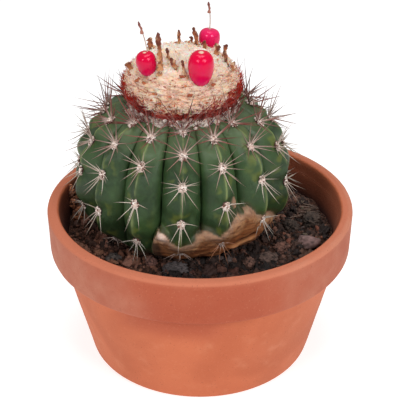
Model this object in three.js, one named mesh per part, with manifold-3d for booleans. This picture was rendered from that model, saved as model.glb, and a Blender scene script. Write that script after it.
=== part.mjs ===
// A ribbed globe cactus with a woolly cephalium and three berries, in a low terracotta pot of gritty soil.
// Millimetres, +Z up, origin at the centre of the pot's base. The front of the plant faces -Y.

import * as THREE from "three";
import { mergeVertices } from "three/addons/utils/BufferGeometryUtils.js";
import Module from "manifold-3d";

const wasm = await Module();
wasm.setup();

// ---- Driving dimensions ----

const seatGap = 0.3;

const rimRadius = 70;
const potHeight = 73.6;
const collarHeight = 20.7;
const collarFootRadius = 69.6;
const bodyTopRadius = 65;
const baseRadius = 52.4;
const mouthRadius = 65;
const soilLineRadius = 62;
const floorRadius = 48.5;
const floorThickness = 7;
const drainRadius = 7;
const edgeRound = 1.6;

const soilLevel = 58;
const soilWave = 1.3;
const lumpCount = 30;
const smallestLump = 1.8;
const largestLump = 4.4;
const lumpSpacing = 0.85;

const stemX = -7.9;
const stemY = 6;
const stemRadius = 49;
const equatorZ = 83.5;
const stemUpperHeight = 38;
const stemLowerHeight = 27;
const upperFullness = 0.58;
const lowerFullness = 0.62;
const highestLatitude = THREE.MathUtils.degToRad(68);
const lowestLatitude = THREE.MathUtils.degToRad(-62);
const furrowDepth = 9.5;
const furrowSharpness = 1.35;
const ribTwist = THREE.MathUtils.degToRad(1.7);
const crenation = 1.1;
const rootProfile = [[0, 25], [3.5, 28], [7, 38], [16, 48], [25, 53.5], [29, 57.4]];

const areoleLength = 2.8;
const areoleWidth = 2.2;
const areoleHeight = 1.4;
const lowestAreole = -25;
const corkFill = 0.8;
const spineRadius = 0.42;
const spineInset = 0.95;

const capBottomRadius = 24.6;
const capRadius = 26.5;
const capHeight = 27.6;
const capWave = 0.6;
const capSink = 1.8;

const columnsPerRib = 4;
const bodyRows = 18;

// Each rib: its bearing in degrees (0 at the front, turning towards +X), the place of its top areole in
// millimetres along the rib above the equator, and how widely its areoles are spaced.
const ribs = [
  [0, 44, 0.84], [23, 38.8, 1], [47.5, 43.6, 0.96], [73, 36.4, 1.05], [97.5, 41.5, 0.9],
  [121.5, 37, 1], [145.5, 43, 0.9], [169, 38.5, 1], [192.5, 42, 0.95], [216.5, 37, 0.95],
  [240.5, 42.5, 0.9], [264.5, 36.5, 1], [287.5, 38.8, 0.93], [311.3, 44, 0.89], [335.5, 39.6, 1],
];

// The upper edge of the dry corky skin at the stem's foot, which bridges the furrows: bearing in degrees
// and height.
const corkEdge = [
  [-20, 60], [-16.5, 72], [-13.8, 78.9], [-10.6, 80.7], [-7, 79], [-3, 74.5], [1, 74.5], [8.5, 77.4],
  [11.5, 79.6], [17, 79.6], [20, 77.6], [23, 82], [31, 85.2], [33, 87.2], [37, 87.4], [40.5, 84],
  [43.6, 80.8], [56, 77], [66, 71.5], [82, 58],
];

// Each berry: name, middle, width, length, lean in degrees towards +X and towards the front, and the
// height and sideways reach of the dried flower that still stands on it.
const berries = [
  ["fruit_front", [0.4, -13.2, 143.5], 10.8, 15.8, 2, 7, 0, 0],
  ["fruit_left", [-22.5, -7.6, 143.4], 8.7, 11.2, -8, 8, 13, -2.6],
  ["fruit_back", [4.1, 17.5, 145], 9.4, 10.4, 3, -4, 12, 0],
];

// Dried flowers that stand in the wool: bearing in degrees, distance from the cap's axis, height, lean
// sideways and thickness.
const driedFlowers = [
  [-118, 14.5, 5.3, -0.7, 1.05], [-29, 17.6, 16.7, -0.9, 0.95], [-27, 10.4, 5.2, -1.4, 0.6],
  [-8, 15.8, 5, -1.4, 0.75], [186, 11.2, 6.2, -0.4, 0.65], [5, 18.2, 5.7, -1.1, 0.75],
  [166, 11, 3.3, 1.6, 0.75], [136, 10.6, 8.6, -2.3, 0.85], [112, 10.5, 3.7, 0.4, 0.75],
  [92, 14.8, 5, 0.4, 0.75], [103, 18.3, 4.6, 1.9, 0.75], [82, 19.3, 3.7, -0.5, 0.75],
  [-80, 22.6, 2.6, -0.6, 0.7], [80, 22.4, 2.6, 0.4, 0.7], [244, 17, 2.4, 1.2, 0.8], [-75, 17.5, 3.4, 0, 0.6],
];

// Stones: x, y, length, width, height, turn in degrees and colour.
const stones = [
  [49.7, -14.6, 11, 9.5, 6.5, 20, 0x86787a],
  [42.9, 0.8, 9.2, 9, 7, 70, 0x5c4e46],
  [53, 4.8, 9.6, 11, 7.4, 10, 0x55483f],
  [-38.5, -26.5, 9, 6.5, 4.6, 150, 0x5f5854],
  [-10.3, -35.2, 12.5, 8, 5.2, 8, 0x6a6462],
  [-21.2, -31, 6.4, 5.4, 4.4, 60, 0x7c4a3a],
  [21.8, -32.5, 7.6, 6.6, 6.2, 100, 0x7c5a4c],
  [18, 54.6, 8, 6, 5, 30, 0x6f6259],
  [-36, 46.2, 7, 6, 5, 75, 0x7b6d64],
  [30.4, -27, 10.5, 6.5, 5.6, -35, 0x5d524d],
  [37.4, -18, 8.6, 7.6, 6, 40, 0x6c4a40],
];

// Low mounds in the soil: x, y, breadth and height.
const mounds = [
  [-55, 12, 8, 5], [52, 24, 9, 1.6], [47, -6, 10, 1.2], [20, -44, 12, 0.8], [-30, -42, 12, 0.9],
];

// ---- Helpers ----

function seededRandom(seed) {
  let state = seed;
  return () => {
    state = (state + 0x6d2b79f5) | 0;
    let mixed = Math.imul(state ^ (state >>> 15), 1 | state);
    mixed = (mixed + Math.imul(mixed ^ (mixed >>> 7), 61 | mixed)) ^ mixed;
    return ((mixed ^ (mixed >>> 14)) >>> 0) / 4294967296;
  };
}

function mergedOutline(geometry) {
  const bare = geometry.clone();
  bare.deleteAttribute("normal");
  bare.deleteAttribute("uv");
  return mergeVertices(bare, 1e-4);
}

// A closed solid of a three.js geometry, without the triangles that collapse at a pole.
function solidOf(geometry) {
  const merged = mergedOutline(geometry);
  const index = merged.index.array;
  const kept = [];
  for (let i = 0; i < index.length; i += 3) {
    const [a, b, c] = [index[i], index[i + 1], index[i + 2]];
    if (a !== b && b !== c && c !== a) {
      kept.push(a, b, c);
    }
  }
  return new wasm.Manifold(new wasm.Mesh({
    numProp: 3,
    vertProperties: new Float32Array(merged.attributes.position.array),
    triVerts: new Uint32Array(kept),
  }));
}

// Joins the solids in pairs, so that no step has much more to join than it must.
function joined(solids) {
  let layer = solids;
  while (layer.length > 1) {
    const next = [];
    for (let i = 0; i < layer.length; i += 2) {
      next.push(i + 1 < layer.length ? layer[i].add(layer[i + 1]) : layer[i]);
    }
    layer = next;
  }
  return layer[0];
}

// The one outer body of a solid: loose scraps are dropped and sealed hollows filled.
function outerBody(solid) {
  const pieces = solid.decompose();
  return pieces.reduce((largest, piece) => (piece.volume() > largest.volume() ? piece : largest));
}

function geometryOf(solid) {
  const mesh = solid.getMesh();
  const geometry = new THREE.BufferGeometry();
  geometry.setAttribute("position", new THREE.BufferAttribute(mesh.vertProperties, 3));
  geometry.setIndex(new THREE.BufferAttribute(mesh.triVerts, 1));
  geometry.computeVertexNormals();
  return geometry;
}

// A closed surface from a sheet wrapped round an axis: pointAt takes the share of a turn and the row.
function wrapped(columns, rows, pointAt) {
  const sheet = new THREE.PlaneGeometry(1, 1, columns, rows);
  const { position, uv } = sheet.attributes;
  for (let i = 0; i < position.count; i += 1) {
    const point = pointAt(uv.getX(i) % 1, Math.round(uv.getY(i) * rows));
    position.setXYZ(i, point.x, point.y, point.z);
  }
  return sheet;
}

// A body of revolution about +Z from [radius, z] pairs that run outwards and up.
function turned(profile, segments) {
  const outline = profile.map(([radius, z]) => new THREE.Vector2(radius, z));
  return new THREE.LatheGeometry(outline, segments).rotateX(Math.PI / 2);
}

function onBearing(centreX, centreY, bearing, radius, z) {
  return new THREE.Vector3(centreX + radius * Math.sin(bearing), centreY - radius * Math.cos(bearing), z);
}

function needle(root, tip, radius) {
  const along = tip.clone().sub(root);
  const cone = new THREE.ConeGeometry(radius, along.length(), 3);
  cone.applyQuaternion(new THREE.Quaternion().setFromUnitVectors(
    new THREE.Vector3(0, 1, 0), along.clone().normalize()));
  cone.translate(...root.clone().addScaledVector(along, 0.5).toArray());
  return solidOf(cone);
}

// ---- Pot ----

function potShape() {
  const collarZ = potHeight - collarHeight;
  const profile = [
    [drainRadius, 0],
    [baseRadius - edgeRound, 0],
    [baseRadius, edgeRound],
    [bodyTopRadius, collarZ],
    [collarFootRadius - edgeRound / 2, collarZ],
    [collarFootRadius, collarZ + edgeRound / 2],
    [rimRadius, potHeight - edgeRound],
    [rimRadius - edgeRound * 0.3, potHeight - edgeRound * 0.3],
    [rimRadius - edgeRound, potHeight],
    [mouthRadius + edgeRound, potHeight],
    [mouthRadius + edgeRound * 0.3, potHeight - edgeRound * 0.3],
    [mouthRadius, potHeight - edgeRound],
    [soilLineRadius, soilLevel],
    [floorRadius, floorThickness + edgeRound],
    [floorRadius - edgeRound, floorThickness],
    [drainRadius, floorThickness],
    [drainRadius, 0],
  ];
  return turned(profile, 52);
}

// ---- Stem ----

// The bearing at a share of a turn, the nearest rib and how far off its crest that is, from 0 to 1. The
// ribs lean a little round the stem on their way up.
function ribAt(turn, latitude) {
  const place = turn * ribs.length;
  const index = Math.floor(place) % ribs.length;
  const share = place - Math.floor(place);
  const from = ribs[index][0];
  const to = index + 1 < ribs.length ? ribs[index + 1][0] : ribs[0][0] + 360;
  return {
    bearing: THREE.MathUtils.degToRad(from + (to - from) * share) + ribTwist * Math.sin(latitude),
    nearest: share < 0.5 ? index : (index + 1) % ribs.length,
    offCrest: Math.min(share, 1 - share) * 2,
  };
}

function crestSection(latitude) {
  const fullness = latitude > 0 ? upperFullness : lowerFullness;
  const rise = latitude > 0 ? stemUpperHeight : stemLowerHeight;
  return { radius: stemRadius * Math.cos(latitude) ** fullness, z: equatorZ + rise * Math.sin(latitude) };
}

function latitudeOf(place) {
  return place / (place > 0 ? stemUpperHeight : stemLowerHeight);
}

// The places of a rib's areoles, in millimetres along it above the equator. They lie wider further down.
function areolePlaces([, top, spacing]) {
  const places = [];
  for (let n = 0; n < 7; n += 1) {
    const place = top - spacing * (12.5 * n + 1.4 * n * n);
    if (place > lowestAreole) {
      places.push(place);
    }
  }
  return places;
}

// How far the crest swells between two areoles and dips at each of them.
function crestSwell(rib, latitude) {
  const place = latitude * (latitude > 0 ? stemUpperHeight : stemLowerHeight);
  const nearest = Math.min(...areolePlaces(rib).map((areole) => Math.abs(areole - place)));
  return crenation * (1 - 2 * Math.exp(-((nearest / 4) ** 2)));
}

// How much of the furrow the corky skin fills at a bearing and height.
function corkFillAt(bearing, z) {
  const degrees = THREE.MathUtils.euclideanModulo(THREE.MathUtils.radToDeg(bearing) + 180, 360) - 180;
  const next = corkEdge.findIndex(([edgeBearing]) => edgeBearing > degrees);
  if (next < 1) {
    return 0;
  }
  const [fromBearing, fromZ] = corkEdge[next - 1];
  const [toBearing, toZ] = corkEdge[next];
  const edgeZ = THREE.MathUtils.mapLinear(degrees, fromBearing, toBearing, fromZ, toZ);
  return corkFill * THREE.MathUtils.smoothstep(edgeZ - z, -2, 3);
}

function stemPoint(turn, latitude) {
  const { bearing, nearest, offCrest } = ribAt(turn, latitude);
  const crest = crestSection(latitude);
  const foot = THREE.MathUtils.smoothstep(latitude, lowestLatitude, lowestLatitude + 0.85);
  const open = 1 - corkFillAt(bearing, crest.z);
  const depth = furrowDepth * open * foot * (crest.radius / stemRadius) * offCrest ** furrowSharpness;
  const swell = crestSwell(ribs[nearest], latitude) * (1 - offCrest) ** 1.5;
  return onBearing(stemX, stemY, bearing, crest.radius - depth + swell, crest.z);
}

function stemCore() {
  const rootRows = rootProfile.length;
  const rows = rootRows + bodyRows + 1;
  return wrapped(ribs.length * columnsPerRib, rows, (turn, row) => {
    if (row < rootRows) {
      return onBearing(stemX, stemY, ribAt(turn, lowestLatitude).bearing, ...rootProfile[row]);
    }
    const share = (row - rootRows) / bodyRows;
    if (share > 1) {
      return new THREE.Vector3(stemX, stemY, crestSection(highestLatitude).z);
    }
    return stemPoint(turn, THREE.MathUtils.lerp(lowestLatitude, highestLatitude, share));
  });
}

// Moves a spine's tip clear of the cephalium, the soil and the pot.
function clearTip(tip) {
  tip.z = Math.max(tip.z, soilLevel + 4);
  const fromCap = new THREE.Vector2(tip.x - stemX, tip.y - stemY);
  if (tip.z > crestSection(highestLatitude).z - 2 && fromCap.length() < capRadius + 3.4) {
    fromCap.setLength(capRadius + 3.4);
    tip.x = stemX + fromCap.x;
    tip.y = stemY + fromCap.y;
  }
  const reach = tip.z < potHeight + 2 ? mouthRadius - 3 : rimRadius - 3;
  const fromPot = new THREE.Vector2(tip.x, tip.y).clampLength(0, reach);
  tip.x = fromPot.x;
  tip.y = fromPot.y;
  return tip;
}

// The spines of one areole: their turn from straight up the rib, their rise off the skin and their length.
const spinePattern = [
  [0, 50, 0.5], [80, 30, 0.72], [-80, 30, 0.72], [142, 28, 0.85], [-142, 28, 0.85], [180, 40, 1],
];

function areoleAndSpines(ribIndex, place, random) {
  const turn = ribIndex / ribs.length;
  const latitude = latitudeOf(place);
  const seat = stemPoint(turn, latitude);
  const up = stemPoint(turn, latitude + 0.02).sub(seat).normalize();
  const { bearing } = ribAt(turn, latitude);
  const side = new THREE.Vector3(Math.cos(bearing), Math.sin(bearing), 0);
  const out = new THREE.Vector3().crossVectors(side, up);
  const pad = new THREE.OctahedronGeometry(1).scale(areoleWidth, areoleLength, areoleHeight);
  pad.applyMatrix4(new THREE.Matrix4().makeBasis(side, up, out)).translate(...seat.toArray());
  const solids = [solidOf(pad)];
  const full = THREE.MathUtils.mapLinear(place, lowestAreole, 44, 11.5, 16);
  for (const [around, rise, share] of spinePattern) {
    const turnRound = THREE.MathUtils.degToRad(around + (random() - 0.5) * 16);
    const lift = THREE.MathUtils.degToRad(rise + (random() - 0.5) * 14);
    const length = full * share * (0.88 + 0.24 * random());
    const flat = up.clone().multiplyScalar(Math.cos(turnRound)).addScaledVector(side, Math.sin(turnRound));
    const along = flat.multiplyScalar(Math.cos(lift)).addScaledVector(out, Math.sin(lift));
    const tip = clearTip(seat.clone().addScaledVector(along, length));
    const root = seat.clone().addScaledVector(tip.clone().sub(seat).normalize(), spineInset);
    solids.push(needle(root, tip, spineRadius));
  }
  return solids;
}

function stemShape() {
  const random = seededRandom(7);
  const solids = [solidOf(stemCore()).subtract(capSeat())];
  ribs.forEach((rib, index) => {
    for (const place of areolePlaces(rib)) {
      solids.push(...areoleAndSpines(index, place, random));
    }
  });
  return outerBody(joined(solids));
}

// ---- Cephalium ----

const capBottomZ = crestSection(highestLatitude).z - capSink;
const capProfile = [
  [0, 0], [capBottomRadius, 0], [25.6, 4], [26.4, 8.5], [capRadius, 12.5], [25.3, 17], [22.6, 20.9],
  [18.4, 24], [12.5, 26.3], [6, 27.3], [0, capHeight],
];

function capPoint(turn, row) {
  const bearing = turn * Math.PI * 2;
  const [radius, height] = capProfile[row];
  const plain = row < 2 || row === capProfile.length - 1;
  const fold = Math.sin(7 * bearing + 0.9 * height) * Math.cos(3 * bearing - 0.5 * height);
  const wave = plain ? 0 : capWave * fold;
  return onBearing(stemX, stemY, bearing, radius + wave, capBottomZ + height + wave);
}

// The shallow seat that the cap's foot leaves in the top of the stem.
function capSeat() {
  const radius = capBottomRadius + seatGap;
  const floor = capBottomZ - seatGap;
  const profile = [[0, floor], [radius, floor], [radius + 1, floor + 4], [0, floor + 4]];
  return solidOf(turned(profile, 32).translate(stemX, stemY, 0));
}

// The height of the cap's wool over its foot, at a distance from its axis.
function capHeightAt(radius) {
  const dome = capProfile.slice(4).reverse();
  const outer = dome.findIndex(([edge]) => edge >= radius);
  const [innerRadius, innerHeight] = dome[outer - 1];
  const [outerRadius, outerHeight] = dome[outer];
  return THREE.MathUtils.mapLinear(radius, innerRadius, outerRadius, innerHeight, outerHeight);
}

// A dried flower: a thin stalk that thickens towards a pointed tip.
function driedFlower(root, tip, thickness) {
  const profile = [[0, 0], [0.8, 0.001], [0.6, 0.4], [1.1, 0.8], [0.7, 0.94], [0, 1]];
  const along = tip.clone().sub(root);
  const stalk = wrapped(5, profile.length - 1, (turn, row) => {
    const [radius, share] = profile[row];
    return onBearing(0, 0, turn * Math.PI * 2, radius * thickness, share * along.length());
  });
  stalk.applyQuaternion(new THREE.Quaternion().setFromUnitVectors(
    new THREE.Vector3(0, 0, 1), along.clone().normalize()));
  stalk.translate(...root.toArray());
  return solidOf(stalk);
}

// Rings of bristles on the cap's flank: height, number, length and rise off the level.
const bristleRings = [[3.4, 26, 7, 62], [7, 30, 3.2, 24], [10.5, 26, 2.8, 12]];

function bristles(random) {
  const solids = [];
  for (const [height, count, length, rise] of bristleRings) {
    for (let i = 0; i < count; i += 1) {
      const bearing = ((i + 0.6 * random()) / count) * Math.PI * 2;
      const lift = THREE.MathUtils.degToRad(rise + (random() - 0.5) * 24);
      const reach = length * (0.8 + 0.4 * random());
      const z = capBottomZ + height + random();
      const root = onBearing(stemX, stemY, bearing, capBottomRadius - 2, z);
      const out = capRadius + reach * Math.cos(lift) - 1;
      solids.push(needle(root, onBearing(stemX, stemY, bearing, out, z + reach * Math.sin(lift)), 0.45));
    }
  }
  return solids;
}

function cephaliumShape(berrySeats) {
  const random = seededRandom(23);
  const solids = [solidOf(wrapped(32, capProfile.length - 1, capPoint)), ...bristles(random)];
  for (const [bearing, radius, height, lean, thickness] of driedFlowers) {
    const rootZ = capBottomZ + capHeightAt(radius);
    const root = onBearing(stemX, stemY, THREE.MathUtils.degToRad(bearing), radius, rootZ - 2.5);
    const tip = root.clone().add(new THREE.Vector3(lean, 0, height + 2.5));
    solids.push(driedFlower(root, tip, thickness));
  }
  return outerBody(berrySeats.reduce((cap, seat) => cap.subtract(seat), joined(solids)));
}

// ---- Berries ----

// A berry, a little narrower at its foot. Grown, it is the seat that the wool leaves round it.
function berrySolid([, middle, width, length, leanSide, leanFront], grown) {
  const rows = 9;
  const body = wrapped(14, rows, (turn, row) => {
    const polar = (row / rows) * Math.PI;
    const radius = (width / 2 + grown) * Math.sin(polar) ** 0.85 * (1 - 0.1 * Math.cos(polar));
    return onBearing(0, 0, turn * Math.PI * 2, radius, -(length / 2 + grown) * Math.cos(polar));
  });
  body.rotateY(THREE.MathUtils.degToRad(leanSide)).rotateX(THREE.MathUtils.degToRad(leanFront));
  return solidOf(body.translate(...middle));
}

function berryShape(berry) {
  const [, middle, , length, , , flowerHeight, flowerReach] = berry;
  const body = berrySolid(berry, 0);
  if (!flowerHeight) {
    return body;
  }
  const top = new THREE.Vector3(...middle).add(new THREE.Vector3(0, 0, length / 2));
  const root = top.clone().add(new THREE.Vector3(-flowerReach * 0.2, 0, -1.5));
  const tip = top.clone().add(new THREE.Vector3(flowerReach, 0, flowerHeight));
  return outerBody(body.add(driedFlower(root, tip, 0.75)));
}

// ---- Soil and stones ----

function soilHeight(x, y) {
  const wave = Math.sin(x * 0.21 + 1.3) * Math.cos(y * 0.17 - 0.4) + 0.6 * Math.sin(x * 0.43 - y * 0.37);
  const heap = Math.cos(Math.min(Math.hypot(x, y) / soilLineRadius, 1) * Math.PI * 0.5);
  const mound = mounds.reduce((total, [moundX, moundY, breadth, height]) =>
    total + height * Math.exp(-((x - moundX) ** 2 + (y - moundY) ** 2) / breadth ** 2), 0);
  return soilLevel - 0.9 + heap + soilWave * 0.6 * wave + mound;
}

// Lumps that lie on the soil, clear of the stem's foot, the pot, the stones and each other.
function soilLumps() {
  const random = seededRandom(41);
  const lumps = [];
  while (lumps.length < lumpCount) {
    const x = (2 * random() - 1) * soilLineRadius;
    const y = (2 * random() - 1) * soilLineRadius;
    const size = THREE.MathUtils.lerp(smallestLump, largestLump, random() ** 2);
    const turn = random() * Math.PI;
    const clear = Math.hypot(x, y) < soilLineRadius - size - 1
      && Math.hypot(x - stemX, y - stemY) > rootProfile.at(-1)[0] + 7 + size
      && stones.every(([stoneX, stoneY, length]) => Math.hypot(x - stoneX, y - stoneY) > length / 2 + size)
      && lumps.every((lump) => Math.hypot(x - lump.x, y - lump.y) > lumpSpacing * (lump.size + size));
    if (clear) {
      lumps.push({ x, y, size, turn });
    }
  }
  return lumps;
}

function lumpSolid({ x, y, size, turn }) {
  const lump = new THREE.OctahedronGeometry(1.15).rotateX(turn);
  lump.scale(size, size * 0.8, size * 0.75).rotateZ(turn);
  return solidOf(lump.translate(x, y, soilHeight(x, y) + size * 0.2));
}

function soilShape(cutters) {
  const wallRadius = soilLineRadius - seatGap;
  const footRadius = floorRadius - edgeRound - seatGap;
  const rings = 6;
  const body = wrapped(40, rings + 3, (turn, row) => {
    const bearing = turn * Math.PI * 2;
    if (row < 2) {
      return onBearing(0, 0, bearing, row * footRadius, floorThickness + seatGap);
    }
    if (row === 2) {
      return onBearing(0, 0, bearing, floorRadius - seatGap, floorThickness + edgeRound + seatGap);
    }
    const radius = (wallRadius - 0.4) * (1 - (row - 3) / rings);
    const point = onBearing(0, 0, bearing, radius, 0);
    point.z = soilHeight(point.x, point.y);
    return point;
  });
  const bed = joined([...soilLumps().map(lumpSolid), solidOf(body)]);
  return outerBody(cutters.reduce((soil, cutter) => soil.subtract(cutter), bed));
}

// The plain hole in the soil that the foot of the stem stands in.
function rootHole() {
  const profile = rootProfile.map(([radius, z]) => [radius ? radius + seatGap : 0, z - seatGap]);
  const [neckRadius, neckZ] = rootProfile.at(-1);
  profile.push([neckRadius + 7, neckZ + 4], [0, neckZ + 4]);
  return solidOf(turned(profile, 26).translate(stemX, stemY, 0));
}

// A rounded, uneven stone. Grown, it is the seat that the soil leaves round it.
function stoneSolid([x, y, length, width, height, turn], index, grown) {
  const random = seededRandom(100 + index);
  const lump = mergedOutline(new THREE.IcosahedronGeometry(1, 1));
  const { position } = lump.attributes;
  const corner = new THREE.Vector3();
  for (let i = 0; i < position.count; i += 1) {
    corner.fromBufferAttribute(position, i).multiplyScalar(0.86 + 0.22 * random());
    position.setXYZ(i, corner.x, corner.y, corner.z);
  }
  lump.scale(length / 2 + grown, width / 2 + grown, height / 2 + grown);
  lump.rotateZ(THREE.MathUtils.degToRad(turn));
  return solidOf(lump.translate(x, y, soilHeight(x, y) + height * 0.22));
}

// ---- The whole object ----

const group = new THREE.Group();

function place(name, geometry, color, roughness) {
  const mesh = new THREE.Mesh(geometry, new THREE.MeshStandardMaterial({ color, roughness, metalness: 0 }));
  mesh.name = name;
  group.add(mesh);
}

place("pot", geometryOf(solidOf(potShape())), 0xc8694a, 0.85);
const stoneSeats = stones.map((stone, index) => stoneSolid(stone, index, seatGap * 1.4));
place("soil", geometryOf(soilShape([rootHole(), ...stoneSeats])), 0x3a2a22, 0.95);
stones.forEach((stone, index) => {
  place(`gravel_${index + 1}`, geometryOf(stoneSolid(stone, index, 0)), stone[6], 0.9);
});
place("cactus_stem", geometryOf(stemShape()), 0x2f5a2c, 0.5);
const berrySeats = berries.map((berry) => berrySolid(berry, seatGap));
place("cephalium", geometryOf(cephaliumShape(berrySeats)), 0xe6cdb0, 0.95);
for (const berry of berries) {
  place(berry[0], geometryOf(berryShape(berry)), 0xd81e4a, 0.25);
}

export default group;
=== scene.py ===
"""A ribbed globe cactus with a woolly cap and three berries, in a low terracotta pot of gritty soil.

Sizes are in millimetres, as in the part's source, and become metres where a mesh is made.
The front of the plant faces -Y, and a bearing is counted from there towards +X.
Every draw is seeded, so each run gives the same meshes.
"""
import itertools
import math

import bpy
import bmesh
import numpy as np
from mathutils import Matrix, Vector


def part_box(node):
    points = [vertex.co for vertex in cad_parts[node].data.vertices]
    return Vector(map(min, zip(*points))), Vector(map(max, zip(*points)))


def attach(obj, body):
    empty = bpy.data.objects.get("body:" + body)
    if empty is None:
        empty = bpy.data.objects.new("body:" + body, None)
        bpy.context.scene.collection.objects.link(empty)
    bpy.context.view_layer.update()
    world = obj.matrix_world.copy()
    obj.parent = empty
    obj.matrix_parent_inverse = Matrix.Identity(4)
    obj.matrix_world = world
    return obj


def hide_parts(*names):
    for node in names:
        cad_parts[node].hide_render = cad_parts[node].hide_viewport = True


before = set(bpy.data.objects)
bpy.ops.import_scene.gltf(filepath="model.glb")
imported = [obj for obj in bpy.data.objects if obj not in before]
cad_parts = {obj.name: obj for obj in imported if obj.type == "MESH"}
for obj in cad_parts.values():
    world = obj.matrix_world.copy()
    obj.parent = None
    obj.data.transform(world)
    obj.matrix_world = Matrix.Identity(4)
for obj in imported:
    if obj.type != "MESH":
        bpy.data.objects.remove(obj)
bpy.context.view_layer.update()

MM = 0.001

# ---- Pot, as in the part's source ----
RIM_RADIUS = 70
POT_HEIGHT = 73.6
COLLAR_Z = POT_HEIGHT - 20.7
COLLAR_FOOT_RADIUS = 69.6
BODY_TOP_RADIUS = 65
BASE_RADIUS = 52.4
MOUTH_RADIUS = 65
SOIL_LINE_RADIUS = 62
FLOOR_RADIUS = 48.5
FLOOR_THICKNESS = 7
DRAIN_RADIUS = 7
SOIL_LEVEL = 58
SEAT_GAP = 0.3

# ---- Stem, as in the part's source ----
STEM_AXIS = (-7.9, 6)
STEM_RADIUS = 49
EQUATOR_Z = 83.5
UPPER_HEIGHT = 38
LOWER_HEIGHT = 27
UPPER_FULLNESS = 0.58
LOWER_FULLNESS = 0.62
HIGHEST = math.radians(68)
LOWEST = math.radians(-62)
FURROW_DEPTH = 9.5
FURROW_SHARPNESS = 1.35
RIB_TWIST = math.radians(1.7)
CRENATION = 1.1
LOWEST_AREOLE = -25
ROOT_PROFILE = ((0, 25), (3.5, 28), (7, 38), (16, 48), (25, 53.5), (29, 57.4))

# Each rib: bearing, place of its top areole in millimetres above the equator, and areole spacing.
RIBS = (
    (0, 44, 0.84), (23, 38.8, 1), (47.5, 43.6, 0.96), (73, 36.4, 1.05), (97.5, 41.5, 0.9),
    (121.5, 37, 1), (145.5, 43, 0.9), (169, 38.5, 1), (192.5, 42, 0.95), (216.5, 37, 0.95),
    (240.5, 42.5, 0.9), (264.5, 36.5, 1), (287.5, 38.8, 0.93), (311.3, 44, 0.89), (335.5, 39.6, 1),
)

# ---- Cap, as in the part's source ----
CAP_SINK = 1.8
CAP_RADIUS = 26.5
CAP_PROFILE = (
    (0, 0), (24.6, 0), (25.6, 4), (26.4, 8.5), (26.5, 12.5), (25.3, 17), (22.6, 20.9),
    (18.4, 24), (12.5, 26.3), (6, 27.3), (0, 27.6),
)

# Each berry: name, middle, width, length, lean in degrees towards +X and the front, height and sideways reach
# of the dried flower on it (0 if none), radius of its scar, and screen colours of its top, middle and foot.
BERRIES = (
    ("front", (0.4, -13.2, 143.5), 10.8, 15.8, (2, 7), (0, 0), 1.25,
     ((222, 0, 56), (212, 0, 62), (204, 14, 92))),
    ("left", (-22.5, -7.6, 143.4), 8.7, 11.2, (-8, 8), (13, -2.6), 0.7,
     ((216, 0, 54), (202, 0, 60), (192, 12, 84))),
    ("back", (4.1, 17.5, 145), 9.4, 10.4, (3, -4), (12, 0), 0.7,
     ((232, 40, 98), (226, 6, 84), (200, 4, 76))),
)

# Dried flowers: bearing, distance from the cap's axis, height, lean sideways and thickness.
DRIED_FLOWERS = (
    (-118, 14.5, 5.3, -0.7, 1.05), (-29, 17.6, 16.7, -0.9, 0.95), (-27, 10.4, 5.2, -1.4, 0.6),
    (-8, 15.8, 5, -1.4, 0.75), (186, 11.2, 6.2, -0.4, 0.65), (5, 18.2, 5.7, -1.1, 0.75),
    (166, 11, 3.3, 1.6, 0.75), (136, 10.6, 8.6, -2.3, 0.85), (112, 10.5, 3.7, 0.4, 0.75),
    (92, 14.8, 5, 0.4, 0.75), (103, 18.3, 4.6, 1.9, 0.75), (82, 19.3, 3.7, -0.5, 0.75),
    (-80, 22.6, 2.6, -0.6, 0.7), (80, 22.4, 2.6, 0.4, 0.7), (244, 17, 2.4, 1.2, 0.8),
    (-75, 17.5, 3.4, 0, 0.6),
)

# The upper edge of the dry corky skin at the stem's foot, as in the part's source: bearing in degrees and
# height. Below it the skin bridges the furrows, and CORK_FILL is the share of their depth that it fills.
CORK_EDGE = (
    (-20, 60), (-16.5, 72), (-13.8, 78.9), (-10.6, 80.7), (-7, 79), (-3, 74.5), (1, 74.5), (8.5, 77.4),
    (11.5, 79.6), (17, 79.6), (20, 77.6), (23, 82), (31, 85.2), (33, 87.2), (37, 87.4), (40.5, 84),
    (43.6, 80.8), (56, 77), (66, 71.5), (82, 58),
)
CORK_FILL = 0.8

# The edge of the cork's colour, which lies a little off the edge of its form.
CORK_COLOUR_EDGE = (
    (-18, 60), (-16, 71), (-14.4, 76), (-12.9, 78.6), (-10.4, 79.8), (-7.6, 78.6), (-5.6, 75.6), (-3, 74),
    (1, 74), (5, 75), (8.5, 77.2), (12, 79.4), (16, 79.2), (20, 77.4), (24, 82), (27.5, 84.6), (31, 85.4),
    (34, 85.8), (37, 86.4), (40.5, 86.2), (43, 82.6), (46, 81.6), (52, 79.6), (58, 77.4), (66, 74),
    (72, 70), (80, 60),
)

# A small cork fleck and a pale scab: bearing in degrees, height, and breadth in both directions.
CORK_FLECK = (29, 91, 1.6, 3)
PALE_SCAB = (-10.2, 77.8, 2.9, 2.1)

# The two ends of a fold in the cork: bearing and height. Its crease is painted dark as shadow, and the lip
# under it pale as a highlight.
CORK_FOLD = ((27, 70.6), (45, 73))

# ---- Camera, from the fit to the pot's rim, collar and base ----
CAMERA_PLACE = (0, -0.4036, 0.2977)
CAMERA_ELEVATION = 29.06
FOCAL_PIXELS = 1000
IMAGE_PIXELS = 400
SENSOR_WIDTH = 36


# ---- Numbers: noise, draws and colours ----

class SeededRandom:
    """The same draws as the generator in the part's source."""

    STEP = 0x6D2B79F5
    MASK = 0xFFFFFFFF

    def __init__(self, seed):
        self.state = seed

    def __call__(self):
        self.state = (self.state + self.STEP) & self.MASK
        mixed = ((self.state ^ (self.state >> 15)) * (1 | self.state)) & self.MASK
        mixed = ((mixed + (((mixed ^ (mixed >> 7)) * (61 | mixed)) & self.MASK)) & self.MASK) ^ mixed
        return (mixed ^ (mixed >> 14)) / (self.MASK + 1)


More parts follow.
